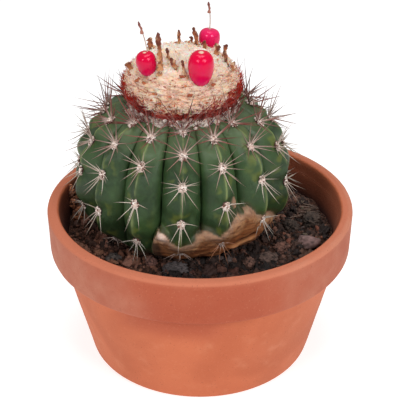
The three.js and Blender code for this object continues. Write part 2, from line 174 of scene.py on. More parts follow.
# The noise's hash, and by how many cells the grid is shifted for each further seed.
HASH_PRIMES = np.array([374761393, 668265263, 1274126177])
HASH_FACTORS = (1103515245, 48271)
HASH_OFFSET = 12345
HASH_MASK = 0x7FFFFFFF
SEED_SHIFT = 17.31


def value_noise(points, size, seed=0):
    """Smooth noise from -1 to 1 at each point, with features of about that size."""
    cell = np.asarray(points, dtype=float) / size + seed * SEED_SHIFT
    low = np.floor(cell).astype(np.int64)
    part = cell - low
    part = part * part * (3 - 2 * part)
    total = 0
    for corner in itertools.product((0, 1), repeat=3):
        mixed = (low + np.array(corner)) @ HASH_PRIMES
        mixed = ((mixed ^ (mixed >> 13)) * HASH_FACTORS[0] + HASH_OFFSET) & HASH_MASK
        mixed = ((mixed ^ (mixed >> 15)) * HASH_FACTORS[1]) & HASH_MASK
        weight = np.prod(np.where(np.array(corner), part, 1 - part), axis=-1)
        total = total + weight * (mixed / (HASH_MASK // 2) - 1)
    return total


def rough_noise(points, size, octaves=3, seed=0):
    """Noise with finer and weaker octaves added."""
    total = 0
    for octave in range(octaves):
        total = total + value_noise(points, size / 2 ** octave, seed + octave) / 2 ** octave
    return total


def ease(value, low, high):
    """0 up to low, 1 from high on, and a smooth rise between."""
    share = np.clip((value - low) / (high - low), 0, 1)
    return share * share * (3 - 2 * share)


def bump_at(value, width):
    """A smooth bump of height 1 where the value is 0."""
    return np.exp(-(value / width) ** 2)


def unit(vectors):
    vectors = np.asarray(vectors, dtype=float)
    return vectors / np.maximum(np.linalg.norm(vectors, axis=-1, keepdims=True), 1e-9)


def linear(red, green, blue):
    """A screen colour, 0 to 255, as the linear colour that a shader takes."""
    shares = [channel / 255 for channel in (red, green, blue)]
    return tuple(c / 12.92 if c <= 0.04045 else ((c + 0.055) / 1.055) ** 2.4 for c in shares)


def blend(share, first, second):
    """Linear colours between two others, at each share."""
    share = np.asarray(share)[..., None]
    return np.asarray(first) * (1 - share) + np.asarray(second) * share


def tones(share, first, second):
    """Linear colours between two screen colours, at each share."""
    return blend(share, linear(*first), linear(*second))


def towards(tint, share, colour):
    """Tints with a screen colour laid over them, at each share."""
    return blend(share, tint, linear(*colour))


def bearings_round(columns):
    return np.arange(columns) / columns * 2 * math.pi


def on_bearing(bearing, radius, z, axis=(0, 0)):
    """Points at bearings in radians and distances from an upright axis."""
    bearing, radius, z = np.broadcast_arrays(bearing, radius, z)
    return np.stack([axis[0] + radius * np.sin(bearing), axis[1] - radius * np.cos(bearing), z], axis=-1)


def from_stem(x, y):
    """Distance of x, y from the stem's axis."""
    return np.hypot(x - STEM_AXIS[0], y - STEM_AXIS[1])


# ---- Meshes ----

def add_to_scene(name, data):
    made = bpy.data.objects.new(name, data)
    bpy.context.scene.collection.objects.link(made)
    return made


class Batch:
    """Points, faces and point values that are gathered into one mesh."""

    def __init__(self):
        self.points = []
        self.faces = []
        self.values = {}
        self.count = 0

    def add(self, form, **values):
        """Adds a form, given as points and groups of faces. Its tint is one linear colour, or one for each copy
        in it or for each point."""
        points, faces = form
        points = np.asarray(points, dtype=float).reshape(-1, 3)
        self.points.append(points)
        self.faces.extend(np.asarray(group) + self.count for group in faces)
        for name, value in values.items():
            value = np.asarray(value, dtype=float)
            value = value.reshape(-1, 3) if name == "tint" else value.ravel()
            self.values.setdefault(name, []).append(np.repeat(value, len(points) // len(value), axis=0))
        self.count += len(points)

    def mesh(self, name):
        mesh = bpy.data.meshes.new(name)
        points = np.concatenate(self.points) * MM
        corners = np.concatenate([group.ravel() for group in self.faces])
        sizes = np.concatenate([np.full(len(group), group.shape[1]) for group in self.faces])
        mesh.vertices.add(len(points))
        mesh.vertices.foreach_set("co", points.ravel())
        mesh.loops.add(len(corners))
        mesh.loops.foreach_set("vertex_index", corners.astype(np.int32))
        mesh.polygons.add(len(sizes))
        mesh.polygons.foreach_set("loop_start", (np.cumsum(sizes) - sizes).astype(np.int32))
        mesh.polygons.foreach_set("use_smooth", np.ones(len(sizes), dtype=bool))
        mesh.update(calc_edges=True)
        mesh.validate()
        return mesh

    def piece(self, name, slot, material, replaces=()):
        mesh = self.mesh(name)
        for value_name, parts in self.values.items():
            value = np.concatenate(parts)
            if value.ndim == 2:
                rgba = np.concatenate([value, np.ones((len(value), 1))], axis=1)
                layer = mesh.color_attributes.new(value_name, "FLOAT_COLOR", "POINT")
                layer.data.foreach_set("color", rgba.ravel())
            else:
                layer = mesh.attributes.new(value_name, "FLOAT", "POINT")
                layer.data.foreach_set("value", value)
        mesh.materials.append(material)
        made = add_to_scene(name, mesh)
        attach(made, "root")
        for node in replaces:
            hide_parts(node)


def add_piece(name, slot, material, form, replaces=(), **values):
    """A piece that is one form."""
    batch = Batch()
    batch.add(form, **values)
    batch.piece(name, slot, material, replaces)


def ring_faces(columns, rings, closed=False):
    """Quads between rings of points, each ring wrapped round, and the rings too where closed."""
    column = np.arange(columns)
    following = (column + 1) % columns
    quads = []
    for ring in range(rings if closed else rings - 1):
        low = ring * columns
        high = (ring + 1) % rings * columns
        quads.append(np.stack([low + column, low + following, high + following, high + column], axis=-1))
    return np.concatenate(quads)


def pole_faces(columns, ring_start, pole, top):
    """Triangles from a ring of points to a pole."""
    column = np.arange(columns)
    following = (column + 1) % columns
    first, second = (column, following) if top else (following, column)
    return np.stack([ring_start + first, ring_start + second, np.full(columns, pole)], axis=-1)


def capped_faces(columns, rings):
    """Faces of a closed body of rings, whose two poles come after its rings: the bottom one, then the top."""
    bottom = rings * columns
    return [
        ring_faces(columns, rings),
        pole_faces(columns, 0, bottom, False),
        pole_faces(columns, (rings - 1) * columns, bottom + 1, True),
    ]


def closed_rings(ring_points, bottom_pole, top_pole):
    """The form of a closed body from rings of points [ring, column, xyz] and its two poles."""
    rings, columns = ring_points.shape[:2]
    points = np.concatenate([ring_points.reshape(-1, 3), [bottom_pole], [top_pole]])
    return points, capped_faces(columns, rings)


def surface_normals(grid):
    """Outward normals of a wrapped grid of points [row, column, xyz] that runs upwards."""
    round_it = np.roll(grid, -1, axis=1) - np.roll(grid, 1, axis=1)
    up_it = np.gradient(grid, axis=0)
    return unit(np.cross(round_it, up_it))


# How fast a hair narrows towards its tip.
HAIR_TAPER = 1.3


def hairs(roots, tips, bend, radius, sides, steps, blunt=0.0):
    """Thin bent cones from roots to tips. Returns their form and shares of the length [hair, point]."""
    roots, tips, bend = (np.asarray(value, dtype=float) for value in (roots, tips, bend))
    count = len(roots)
    along = unit(tips - roots)
    helper = np.where(np.abs(along[:, 2:3]) < 0.9, [[0, 0, 1.0]], [[1.0, 0, 0]])
    across = unit(np.cross(along, helper))
    other = np.cross(along, across)
    share = np.arange(steps) / steps
    middle = roots[:, None] + (tips - roots)[:, None] * share[:, None]
    middle = middle + bend[:, None] * (4 * share * (1 - share))[:, None]
    angle = bearings_round(sides)
    ring = across[:, None] * np.cos(angle)[:, None] + other[:, None] * np.sin(angle)[:, None]
    radius = np.broadcast_to(np.asarray(radius, dtype=float), count)
    width = radius[:, None] * (1 - (1 - blunt) * share ** HAIR_TAPER)
    sleeves = middle[:, :, None] + ring[:, None] * width[:, :, None, None]
    sleeves = sleeves.reshape(count, steps * sides, 3)
    points = np.concatenate([sleeves, roots[:, None], tips[:, None]], axis=1)
    size = steps * sides + 2
    starts = (np.arange(count) * size)[:, None, None]
    faces = [(starts + group).reshape(-1, group.shape[1]) for group in capped_faces(sides, steps)]
    shares = np.concatenate([np.repeat(share, sides), [0.0], [1.0]])
    return (points.reshape(-1, 3), faces), np.tile(shares, (count, 1))


def ball(subdivisions):
    """Points and triangles of an icosphere of radius 1."""
    form = bmesh.new()
    bmesh.ops.create_icosphere(form, subdivisions=subdivisions, radius=1)
    points = np.array([vertex.co[:] for vertex in form.verts])
    faces = np.array([[vertex.index for vertex in face.verts] for face in form.faces])
    form.free()
    return points, faces


def lumps(shape, middles, axes, jitter, draws):
    """Many copies of a ball: axes holds each copy's three half-axes as vectors."""
    points, faces = shape
    rough = 1 + jitter * (draws.random((len(middles), len(points), 1)) * 2 - 1)
    placed = np.einsum("npk,nkc->npc", points[None] * rough, axes) + np.asarray(middles)[:, None]
    starts = (np.arange(len(middles)) * len(points))[:, None, None]
    return placed.reshape(-1, 3), [(starts + faces).reshape(-1, 3)]


def random_axes(sizes, draws, least, spread):
    """Half-axes for lumps, turned at random: each size times a factor from least to least + spread."""
    count = len(sizes)
    first = unit(draws.normal(size=(count, 3)))
    second = unit(np.cross(first, draws.normal(size=(count, 3))))
    turns = np.stack([first, second, np.cross(first, second)], axis=1)
    return turns * sizes.reshape(-1, 1, 1) * (least + spread * draws.random((count, 3, 1)))


# ---- Materials ----

class Finish:
    """A material under construction, with short ways to feed its shader. Noise sizes are in millimetres."""

    def __init__(self, name, roughness, **settings):
        self.material = bpy.data.materials.new(name)
        self.material.use_nodes = True
        self.tree = self.material.node_tree
        self.shader = self.tree.nodes["Principled BSDF"]
        self.shader.inputs["Roughness"].default_value = roughness
        for socket, value in settings.items():
            self.shader.inputs[socket.replace("_", " ").title().replace("Ior", "IOR")].default_value = value
        self.place = self.tree.nodes.new("ShaderNodeTexCoord").outputs["Object"]

    def feed(self, socket, value):
        """Sets a socket to a number or a linear colour, or links it to a point value's name or to a socket."""
        if isinstance(value, tuple):
            socket.default_value = (*value, 1)
        elif isinstance(value, (int, float)):
            socket.default_value = value
        else:
            self.tree.links.new(self.attribute(value) if isinstance(value, str) else value, socket)

    def node(self, kind, **inputs):
        node = self.tree.nodes.new("ShaderNode" + kind)
        for name, value in inputs.items():
            self.feed(node.inputs[name.replace("_", " ").title()], value)
        return node

    def noise(self, size, detail=4, roughness=0.55, distortion=0, stretch=None):
        place = self.place
        if stretch:
            mapping = self.node("Mapping", vector=place)
            mapping.inputs["Scale"].default_value = stretch
            place = mapping.outputs["Vector"]
        return self.node("TexNoise", scale=1 / (size * MM), detail=detail, roughness=roughness,
                         distortion=distortion, vector=place).outputs["Fac"]

    def attribute(self, name, output="Fac"):
        node = self.node("Attribute")
        node.attribute_name = name
        return node.outputs[output]

    def band(self, source, low, high, reach=1.0):
        """source mapped from low..high to 0..reach, smoothly."""
        node = self.node("MapRange")
        node.interpolation_type = "SMOOTHSTEP"
        for name, value in (("From Min", low), ("From Max", high), ("To Max", reach), ("Value", source)):
            self.feed(node.inputs[name], value)
        return node.outputs["Result"]

    def maths(self, operation, first, second):
        node = self.node("Math")
        node.operation = operation
        self.feed(node.inputs[0], first)
        self.feed(node.inputs[1], second)
        return node.outputs[0]

    def mix(self, share, first, second, blend_type="MIX"):
        node = self.node("Mix")
        node.data_type = "RGBA"
        node.blend_type = blend_type
        for index, value in ((0, share), (6, first), (7, second)):
            self.feed(node.inputs[index], value)
        return node.outputs[2]

    def layers(self, base, *layers):
        """The base with layers over it: each is a share, or what band() takes, and then a colour. Colours are
        screen colours or sockets."""
        colour = linear(*base)
        for *source, tone in layers:
            share = self.band(*source) if len(source) > 1 else source[0]
            colour = self.mix(share, colour, linear(*tone) if isinstance(tone, tuple) else tone)
        return colour

    def paint(self, colour):
        self.feed(self.shader.inputs["Base Color"], colour)

    def gloss(self, share, low, high):
        node = self.node("MapRange", to_min=low, to_max=high, value=share)
        self.feed(self.shader.inputs["Roughness"], node.outputs["Result"])

    def bump(self, height, depth, strength=1.0):
        node = self.node("Bump", distance=depth * MM, strength=strength, height=height)
        self.feed(self.shader.inputs["Normal"], node.outputs["Normal"])


def terracotta_finish():
    finish = Finish("terracotta", 0.82, specular_ior_level=0.3)
    clouds = finish.noise(38, 3, 0.5, 0.6)
    patches = finish.noise(11, 4, 0.6)
    grain = finish.noise(0.9, 3, 0.7)
    specks = finish.noise(0.7, 2, 0.5)
    salts = finish.maths("MULTIPLY", "bloom", finish.band(patches, 0.0, 0.85, 0.42))
    finish.paint(finish.layers(
        (200, 110, 74),
        (clouds, 0.35, 0.68, (186, 98, 64)),
        (patches, 0.5, 0.8, 0.4, (212, 140, 108)),
        # The collar's darker clay, and the painted shadow just under the collar.
        ("collar", 0, 1, 0.7, (160, 71, 49)),
        # Painted highlight on the top of the rim.
        ("rim_highlight", 0, 1, 0.5, (218, 138, 106)),
        (salts, (214, 166, 142)),
        # Painted shade on the inner wall, with damp darkening on the plant's left.
        ("inside_shade_and_damp", (56, 25, 22)),
        (grain, 0.55, 0.8, 0.22, (226, 160, 128)),
        (specks, 0.66, 0.74, 0.5, (120, 58, 44)),
    ))
    finish.gloss(patches, 0.72, 0.95)
    finish.bump(finish.maths("ADD", grain, finish.maths("MULTIPLY", patches, 0.8)), 0.22, 0.7)
    return finish.material


def skin_finish():
    finish = Finish("cactus_skin", 0.42, specular_ior_level=0.36, subsurface_weight=0.06,
                    subsurface_scale=0.002)
    band, noise = finish.band, finish.noise
    broad = noise(16, 3, 0.55, 0.4)
    mottle = noise(4.2, 4, 0.6)
    fine = noise(0.9, 3, 0.6)
    blotches = finish.maths("MULTIPLY", band(noise(7, 2, 0.5, 0.3), 0.54, 0.7, 0.7),
                            band("crest", 0.15, 0.75))
    crest_line = finish.maths("MULTIPLY", "ridge", band(broad, 0.34, 0.56, 0.75))
    green = finish.layers(
        (41, 62, 34),
        (broad, 0.36, 0.66, (58, 83, 45)),
        (mottle, 0.45, 0.75, 0.5, (70, 97, 59)),
        # Painted shade: the lower part of the stem is drawn darker.
        ("low", 0, 1, 0.45, (34, 54, 34)),
        (blotches, (102, 112, 46)),
        ("youth", 0.45, 1.0, 0.45, (104, 120, 86)),
        (crest_line, (142, 154, 96)),
        # Painted shade in the creases of the furrows.
        ("furrow_shade", 0.2, 1.0, 0.9, (16, 28, 18)),
        ("stain", 0, 1, 0.6, (70, 58, 34)),
    )
    cork = finish.layers(
        (182, 134, 92),
        (noise(8, 4, 0.6, 0.8), 0.36, 0.64, (144, 94, 58)),
        (noise(1.6, 4, 0.7, 0.4), 0.5, 0.75, 0.45, (190, 154, 126)),
        (noise(5, 4, 0.65, 1.2, (1, 1, 1.4)), 0.5, 0.64, 0.75, (106, 62, 38)),
        ("depth", 0.35, 0.05, 0.6, (166, 136, 116)),
        ("depth", 0.25, 0.8, 0.7, (146, 82, 38)),
        # Painted highlight on the lip under the fold.
        ("lip_and_highlight", 0.1, 0.9, 0.75, (206, 146, 98)),
        ("scab", (228, 200, 184)),
        # Painted shadow in the fold's crease.
        ("fold", 0.15, 0.8, 0.9, (64, 30, 14)),
        # Painted shade on the cork's lower left end.
        ("cork_end_shade", 0.1, 0.8, 0.85, (58, 36, 26)),
    )
    finish.paint(finish.mix("cork", green, cork))
    finish.gloss(finish.maths("MAXIMUM", band(mottle, 0.3, 0.8, 0.35), "cork"), 0.38, 0.95)
    finish.bump(finish.maths("ADD", fine, finish.maths("MULTIPLY", mottle, 1.4)), 0.16, 0.6)
    return finish.material


# What the hollows of a tinted finish's grain multiply its colour by.
GRAIN_SHADE = (0.42, 0.4, 0.4)


def tinted_finish(name, roughness, grain_size, grain_depth, grain_share, **settings):
    """A finish whose colour is each point's own tint, broken up by a fine grain."""
    finish = Finish(name, roughness, **settings)
    tint = finish.attribute("tint", "Color")
    grain = finish.noise(grain_size, 3, 0.65)
    dark = finish.mix(1.0, tint, GRAIN_SHADE, "MULTIPLY")
    finish.paint(finish.mix(finish.band(grain, 0.4, 0.75, grain_share), tint, dark))
    finish.bump(grain, grain_depth, 0.8)
    return finish.material


def wool_finish():
    finish = Finish("cap_wool", 0.95, specular_ior_level=0.1, sheen_weight=0.25, sheen_roughness=0.6,
                    subsurface_weight=0.4, subsurface_scale=0.0015)
    peach = finish.noise(5.5, 3, 0.6, 0.5)
    tufts = finish.noise(1.1, 4, 0.7, 0.6, (1, 1, 2.2))
    flecks = finish.noise(2.4, 3, 0.6, 0.8, (1, 1, 2.3))
    side = finish.maths("MULTIPLY", "flank", finish.band(flecks, 0.56, 0.66, 0.65))
    fold = finish.maths("MULTIPLY", "valley", finish.band(tufts, 0.35, 0.6, 0.6))
    finish.paint(finish.layers(
        (255, 241, 232),
        (peach, 0.36, 0.64, (254, 218, 188)),
        (tufts, 0.45, 0.75, 0.4, (242, 196, 164)),
        ("flank", 0, 1, 0.5, (246, 200, 160)),
        (finish.maths("MAXIMUM", side, fold), (206, 120, 80)),
        ("red_band", finish.layers((156, 34, 22), (tufts, 0.45, 0.7, (200, 78, 54)))),
        ("foot", finish.layers((244, 224, 214), (tufts, 0.45, 0.65, (160, 110, 98)))),
    ))
    finish.bump(finish.maths("ADD", tufts, finish.noise(0.45, 3, 0.7)), 0.5, 0.9)
    return finish.material


def berry_finish(name, top, middle, foot):
    finish = Finish(name, 0.2, specular_ior_level=0.5, coat_weight=0.15, coat_roughness=0.1,
                    specular_tint=(1, 0.25, 0.45, 1))
    cloud = finish.noise(2.6, 3, 0.5)
    finish.paint(finish.layers(
        foot,
        ("height", 0.0, 0.5, middle),
        ("height", 0.5, 0.95, top),
        (cloud, 0.5, 0.8, 0.25, foot),
        ("scar", (238, 202, 178)),
    ))
    finish.bump(cloud, 0.12, 0.5)
    return finish.material


def soil_finish():
    finish = Finish("potting_soil", 0.95, specular_ior_level=0.2)
    grit = finish.noise(2.2, 4, 0.7)
    finish.paint(finish.layers(
        (48, 31, 25),
        (grit, 0.35, 0.65, (90, 61, 49)),
        (finish.noise(1.2, 2, 0.5), 0.64, 0.72, 0.7, (126, 94, 80)),
    ))
    finish.bump(finish.maths("ADD", grit, finish.noise(0.6, 3, 0.7)), 0.6, 1.0)
    return finish.material


# ---- Pot ----

# The pot's mesh: columns round it, steps in each rounding and the longest side of its outline.
POT_COLUMNS, FILLET_STEPS, LONGEST_SIDE = 320, 6, 2.2

# Corners of the pot's section: radius, height and rounding. The two in the middle of the inner wall make the
# faint step below the mouth.
POT_CORNERS = (
    (DRAIN_RADIUS, 0, 0.8), (BASE_RADIUS, 0, 2.4), (BODY_TOP_RADIUS, COLLAR_Z, 1.2),
    (COLLAR_FOOT_RADIUS, COLLAR_Z, 1.9), (RIM_RADIUS, POT_HEIGHT, 1.6), (MOUTH_RADIUS, POT_HEIGHT, 1.1),
    (63.95, 67.6, 0.4), (63.6, 66.9, 0.4), (SOIL_LINE_RADIUS, SOIL_LEVEL, 2),
    (FLOOR_RADIUS, FLOOR_THICKNESS, 3), (DRAIN_RADIUS, FLOOR_THICKNESS, 0.8),
)

# How dark the inner wall is painted at depths below the rim, as painted shade that deepens down the wall, where
# it is dry and where it is damp; on the damp side darker damp clay adds to the shade.
WALL_DEPTHS = (0.8, 2.2, 6, 12, 16)
DRY_WALL_SHADE = (0, 0.36, 0.42, 0.68, 1)
DAMP_WALL_SHADE = (0, 0.62, 0.8, 0.95, 1)


def filleted(corners):
    """A closed outline of [radius, z] from corners (radius, z, rounding), each rounded by an arc."""
    outline = []
    for index, (radius, z, rounding) in enumerate(corners):
        here = np.array([radius, z], dtype=float)
        to_last = unit(np.array(corners[index - 1][:2]) - here)
        to_next = unit(np.array(corners[(index + 1) % len(corners)][:2]) - here)
        for step in range(FILLET_STEPS + 1):
            share = step / FILLET_STEPS
            outline.append(here + rounding * ((1 - share) ** 2 * to_last + share ** 2 * to_next))
    return np.array(outline)


def refined(outline):
    """The closed outline with its long sides split."""
    points = []
    for index, point in enumerate(outline):
        following = outline[(index + 1) % len(outline)]
        parts = max(1, math.ceil(np.linalg.norm(following - point) / LONGEST_SIDE))
        points.extend(point + (following - point) * part / parts for part in range(parts))
    return np.array(points)


def pot_marks(points, radius, height):
    """At each point of the pot: collar with the painted shadow under it, painted shade on the inner wall,
    painted highlight on the rim, and salts, each from 0 to 1.
    """
    x = points[..., 0]
    mid_wall = np.interp(height, (0, COLLAR_Z, COLLAR_Z + 1.5),
                         (BASE_RADIUS - 3, BODY_TOP_RADIUS - 2.4, RIM_RADIUS - 2.6))
    outside = radius > mid_wall
    depth = POT_HEIGHT - height
    dry = np.interp(depth, WALL_DEPTHS, DRY_WALL_SHADE)
    damp = np.interp(depth, WALL_DEPTHS, DAMP_WALL_SHADE)
    darkness = damp + (dry - damp) * ease(x, -45, 35)
    # Painted shade on the inner wall, deepening down from the rim, with darker damp clay on the plant's left.
    inside_shade_and_damp = ((radius < mid_wall) & (height > 1)) * darkness
    # Painted highlight: the rounded top of the rim is drawn paler.
    rim_highlight = ease(height, POT_HEIGHT - 2.2, POT_HEIGHT - 0.6) * (radius > MOUTH_RADIUS + 0.6)
    collar = (height > COLLAR_Z - 0.5) & (radius > MOUTH_RADIUS + 0.5)
    wander = 12 * value_noise(points, 16, 8)
    right = ease(x + wander, 8, 60) * (0.26 + 0.39 * collar)
    left = ease(wander - x, 14, 58) * (0.15 + 0.85 * collar) * (1 - rim_highlight)
    # Painted shadow: the body is darker just under the collar, left of its middle, and this shade rides in the
    # collar's value.
    under = ease(height, COLLAR_Z - 20, COLLAR_Z - 6) * outside * (height < COLLAR_Z + 0.1)
    shade = 0.75 * under * (1 - ease(np.abs(x + 12), 12, 34))
    bloom = (right + left) * outside
    return {"collar": np.maximum(collar, shade), "inside_shade_and_damp": inside_shade_and_damp, "rim_highlight": rim_highlight, "bloom": bloom}


def make_pot():
    outline = refined(filleted(POT_CORNERS))
    bearing = bearings_round(POT_COLUMNS)
    points = on_bearing(bearing[None], outline[:, :1], outline[:, 1:])
    wobble = 0.16 * value_noise(points, 26, 3) + 0.05 * value_noise(points, 5, 4)
    # The collar only wobbles inwards, so the pot keeps its width, and the base stays flat.
    on_collar = np.hypot(points[..., 0], points[..., 1]) > MOUTH_RADIUS + 3
    wobble = np.where(on_collar, np.minimum(wobble, 0), wobble) * ease(points[..., 2], 0.5, 6)
    points = points + on_bearing(bearing, 1.0, 0.0)[None] * wobble[..., None]
    radius, height = (np.broadcast_to(outline[:, k:k + 1], points.shape[:2]) for k in range(2))
    form = points, [ring_faces(POT_COLUMNS, len(outline), closed=True)]
    add_piece("terracotta_pot", "terracotta", terracotta_finish(), form, ["pot"],
              **pot_marks(points, radius, height))


# ---- Stem ----

# The skin's mesh: columns on each rib, and rows.
RIB_COLUMNS, STEM_ROWS = 28, 260

# Steps between areoles down a rib, in millimetres: the first one and how much each further one grows.
AREOLE_STEP = 12.5
AREOLE_STEP_GROWTH = 1.4
MOST_AREOLES = 7

# The skin's marks that are not 0 on the root, which the soil hides.
ROOT_MARKS = {"cork": 1.0, "depth": 1.0, "stain": 1.0}


def crest_section(latitude):
    """Radius and height of the ribs' crests at a latitude."""
    upper = latitude > 0
    fullness = np.where(upper, UPPER_FULLNESS, LOWER_FULLNESS)
    rise = np.where(upper, UPPER_HEIGHT, LOWER_HEIGHT)
    return STEM_RADIUS * np.cos(latitude) ** fullness, EQUATOR_Z + rise * np.sin(latitude)


STEM_TOP_Z = float(crest_section(HIGHEST)[1])
CAP_BOTTOM_Z = STEM_TOP_Z - CAP_SINK


def place_of(latitude):
    """Millimetres above the equator along a rib."""
    return latitude * np.where(latitude > 0, UPPER_HEIGHT, LOWER_HEIGHT)


def latitude_of(place):
    return place / (UPPER_HEIGHT if place > 0 else LOWER_HEIGHT)


def areole_places(rib):
    _, top, spacing = rib
    places = [top - spacing * (AREOLE_STEP * n + AREOLE_STEP_GROWTH * n * n) for n in range(MOST_AREOLES)]
    return [place for place in places if place > LOWEST_AREOLE]


def rib_bearings(turn, latitude=LOWEST):
    """Bearing, nearest rib and distance from its crest, 0 to 1, at each share of a turn."""
    place = np.asarray(turn, dtype=float) * len(RIBS)
    index = np.floor(place).astype(int) % len(RIBS)
    share = place - np.floor(place)
    starts = np.array([rib[0] for rib in RIBS] + [RIBS[0][0] + 360], dtype=float)
    bearing = np.radians(starts[index] + (starts[index + 1] - starts[index]) * share)
    nearest = np.where(share < 0.5, index, (index + 1) % len(RIBS))
    return bearing + RIB_TWIST * np.sin(latitude), nearest, np.minimum(share, 1 - share) * 2


def cork_depth(bearing, z, edge=CORK_EDGE):
    """Distance below the cork's upper edge in millimetres, less than 0 above it, at bearings in radians."""
    degrees = (np.degrees(bearing) + 180) % 360 - 180
    return np.interp(degrees, *zip(*edge), left=0, right=0) - z


def stem_points(turn, latitude):
    """Skin points, and how far each is off its crest and from the nearest areole."""
    turn, latitude = np.broadcast_arrays(np.asarray(turn, float), np.asarray(latitude, float))
    bearing, nearest, off_crest = rib_bearings(turn, latitude)
    radius, z = crest_section(latitude)
    foot = ease(latitude, LOWEST, LOWEST + 0.85)
    fall = 0.88 * off_crest ** FURROW_SHARPNESS + 0.12 * (1 - np.sqrt(np.maximum(1 - off_crest ** 4, 0)))
    fill = CORK_FILL * ease(cork_depth(bearing, z), -2, 3)
    depth = FURROW_DEPTH * (1 - fill) * foot * (radius / STEM_RADIUS) * fall
    place = place_of(latitude)
    gap = np.zeros(place.shape)
    for index, rib in enumerate(RIBS):
        gaps = np.min([np.abs(place - areole) for areole in areole_places(rib)], axis=0)
        gap = np.where(nearest == index, gaps, gap)
    swell = CRENATION * (1 - 2 * bump_at(gap, 4)) * (1 - off_crest) ** 1.5
    return on_bearing(bearing, radius - depth + swell, z, STEM_AXIS), off_crest, gap


def off_spot(degrees, z, spot):
    """Square of the distance from a spot's middle, for breadths of 1."""
    return ((degrees - spot[0]) / spot[2]) ** 2 + ((z - spot[1]) / spot[3]) ** 2


def cork_marks(points):
    """At each skin point: cork 1 or green 0 with a ragged edge, depth below that edge, pale scab, fold with its
    painted shadow, the lip under the fold with its painted highlight, the brown stain round the edge, and
    painted shade on the cork's lower left end."""
    bearing = np.arctan2(points[..., 0] - STEM_AXIS[0], -(points[..., 1] - STEM_AXIS[1]))
    degrees, z = np.degrees(bearing), points[..., 2]
    ragged = 0.9 * rough_noise(points, 3.4, 3, 9)
    below = cork_depth(bearing, z, CORK_COLOUR_EDGE)
    fleck = 1 - ease(off_spot(degrees, z, CORK_FLECK) + 0.3 * ragged, 0.7, 1.1)
    cork = np.maximum(ease(below + ragged, -0.3, 0.7), fleck)
    (start, start_z), (end, end_z) = CORK_FOLD
    fold_z = np.interp(degrees, (start, (start + end) / 2, end), (start_z, start_z + 0.2, end_z))
    along_fold = ease(degrees, start - 1.5, start + 3) * (1 - ease(degrees, end - 4, end + 2))
    over_fold = z - fold_z - 0.25 * ragged
    return {
        "cork": cork,
        "depth": np.clip(below / 14, 0, 1),
        "scab": np.exp(-off_spot(degrees, z, PALE_SCAB)) * cork,
        # The fold's crease gets painted shadow, and the lip below it a painted highlight.
        "fold": bump_at(over_fold, 0.9) * along_fold * cork,
        "lip_and_highlight": bump_at(over_fold + 2.1, 1.3) * along_fold * cork,
        "stain": ease(below + ragged, -3.5, 0.3),
        # Painted shade on the cork's lower left end.
        "cork_end_shade": (1 - ease(degrees, -15.5, -8)) * (1 - ease(z, 71, 76)) * cork,
    }


def make_stem():
    columns = len(RIBS) * RIB_COLUMNS
    turn = np.arange(columns) / columns
    latitude = np.linspace(LOWEST, HIGHEST, STEM_ROWS)
    skin, off_crest, gap = stem_points(turn[None], latitude[:, None])
    normals = surface_normals(skin)
    marks = cork_marks(skin)
    cork = marks["cork"]
    ridge = bump_at(off_crest, 0.05) * ease(gap, 1.5, 4)
    plates = 0.45 * np.abs(rough_noise(skin * [1, 1, 1.6], 9, 3, 5)) + 0.05 * rough_noise(skin, 1.6, 2, 6)
    dents = 0.28 * value_noise(skin, 9, 1) + 0.1 * value_noise(skin, 3, 2)
    wrinkles = 0.3 * value_noise(skin * [1, 1, 3.2], 3.6, 12) + 0.12 * value_noise(skin * [1, 1, 3], 1.5, 13)
    flank = ease(off_crest, 0.3, 0.78) * (1 - ease(off_crest, 0.88, 1.0))
    lift = dents + 0.2 * ridge + (0.8 * flank - 0.7 * bump_at(1 - off_crest, 0.04)) * (1 - cork)
    lift = lift + cork * (0.5 + plates + wrinkles) - 1.5 * marks["fold"] + 0.7 * marks["lip_and_highlight"]
    lift = lift + 0.5 * marks["scab"]
    sideways = 1.3 * value_noise(skin * [0.6, 0.6, 1], 7, 14) * ease(off_crest, 0.35, 0.9) * (1 - cork)
    round_it = unit(np.cross([0, 0, 1], normals))
    skin = skin + normals * lift[..., None] + round_it * sideways[..., None]

    # The root below the skin, and the seat on which the cap sits.
    root = np.array(ROOT_PROFILE[1:])
    root_rings = on_bearing(rib_bearings(turn)[0][None], root[:, :1], root[:, 1:], STEM_AXIS)
    centre = np.array([*STEM_AXIS, 0])
    seat = centre + (skin[-1:] * [1, 1, 0] + [0, 0, CAP_BOTTOM_Z] - centre) * [0.6, 0.6, 1]
    rings = np.concatenate([root_rings, skin, seat])
    form = closed_rings(rings, (*STEM_AXIS, ROOT_PROFILE[0][1]), (*STEM_AXIS, CAP_BOTTOM_Z))

    marks |= {
        "ridge": ridge,
        "crest": 1 - off_crest,
        # Painted shade along the furrows' creases.
        "furrow_shade": ease(off_crest, 0.955, 0.99),
        "youth": np.broadcast_to(ease(latitude, 0.2, 1.1)[:, None], off_crest.shape),
        # Painted shade on the stem's lower part.
        "low": 1 - ease(skin[..., 2], 66, 86),
    }
    for name, mark in marks.items():
        on_root = ROOT_MARKS.get(name, 0.0)
        rows = [np.full((len(root), columns), on_root), mark, mark[-1:]]
        marks[name] = np.append(np.concatenate(rows), [on_root, 0])
    add_piece("stem_skin", "stem", skin_finish(), form, ["cactus_stem"], **marks)


# The spines of an areole: turn from straight up the rib, rise off the skin and share of the full length.
SPINE_PATTERN = (
    (0, 50, 0.5), (80, 30, 0.72), (-80, 30, 0.72), (142, 28, 0.85), (-142, 28, 0.85), (180, 40, 1),
)
SPINE_RADII = [0.22, 0.24, 0.24, 0.27, 0.27, 0.31]

# Further thin spines with the same three values: the first two on every areole, and all four on the young ones.
EXTRA_SPINES = ((38, 42, 0.42), (-38, 42, 0.42), (112, 24, 0.64), (-112, 24, 0.64))

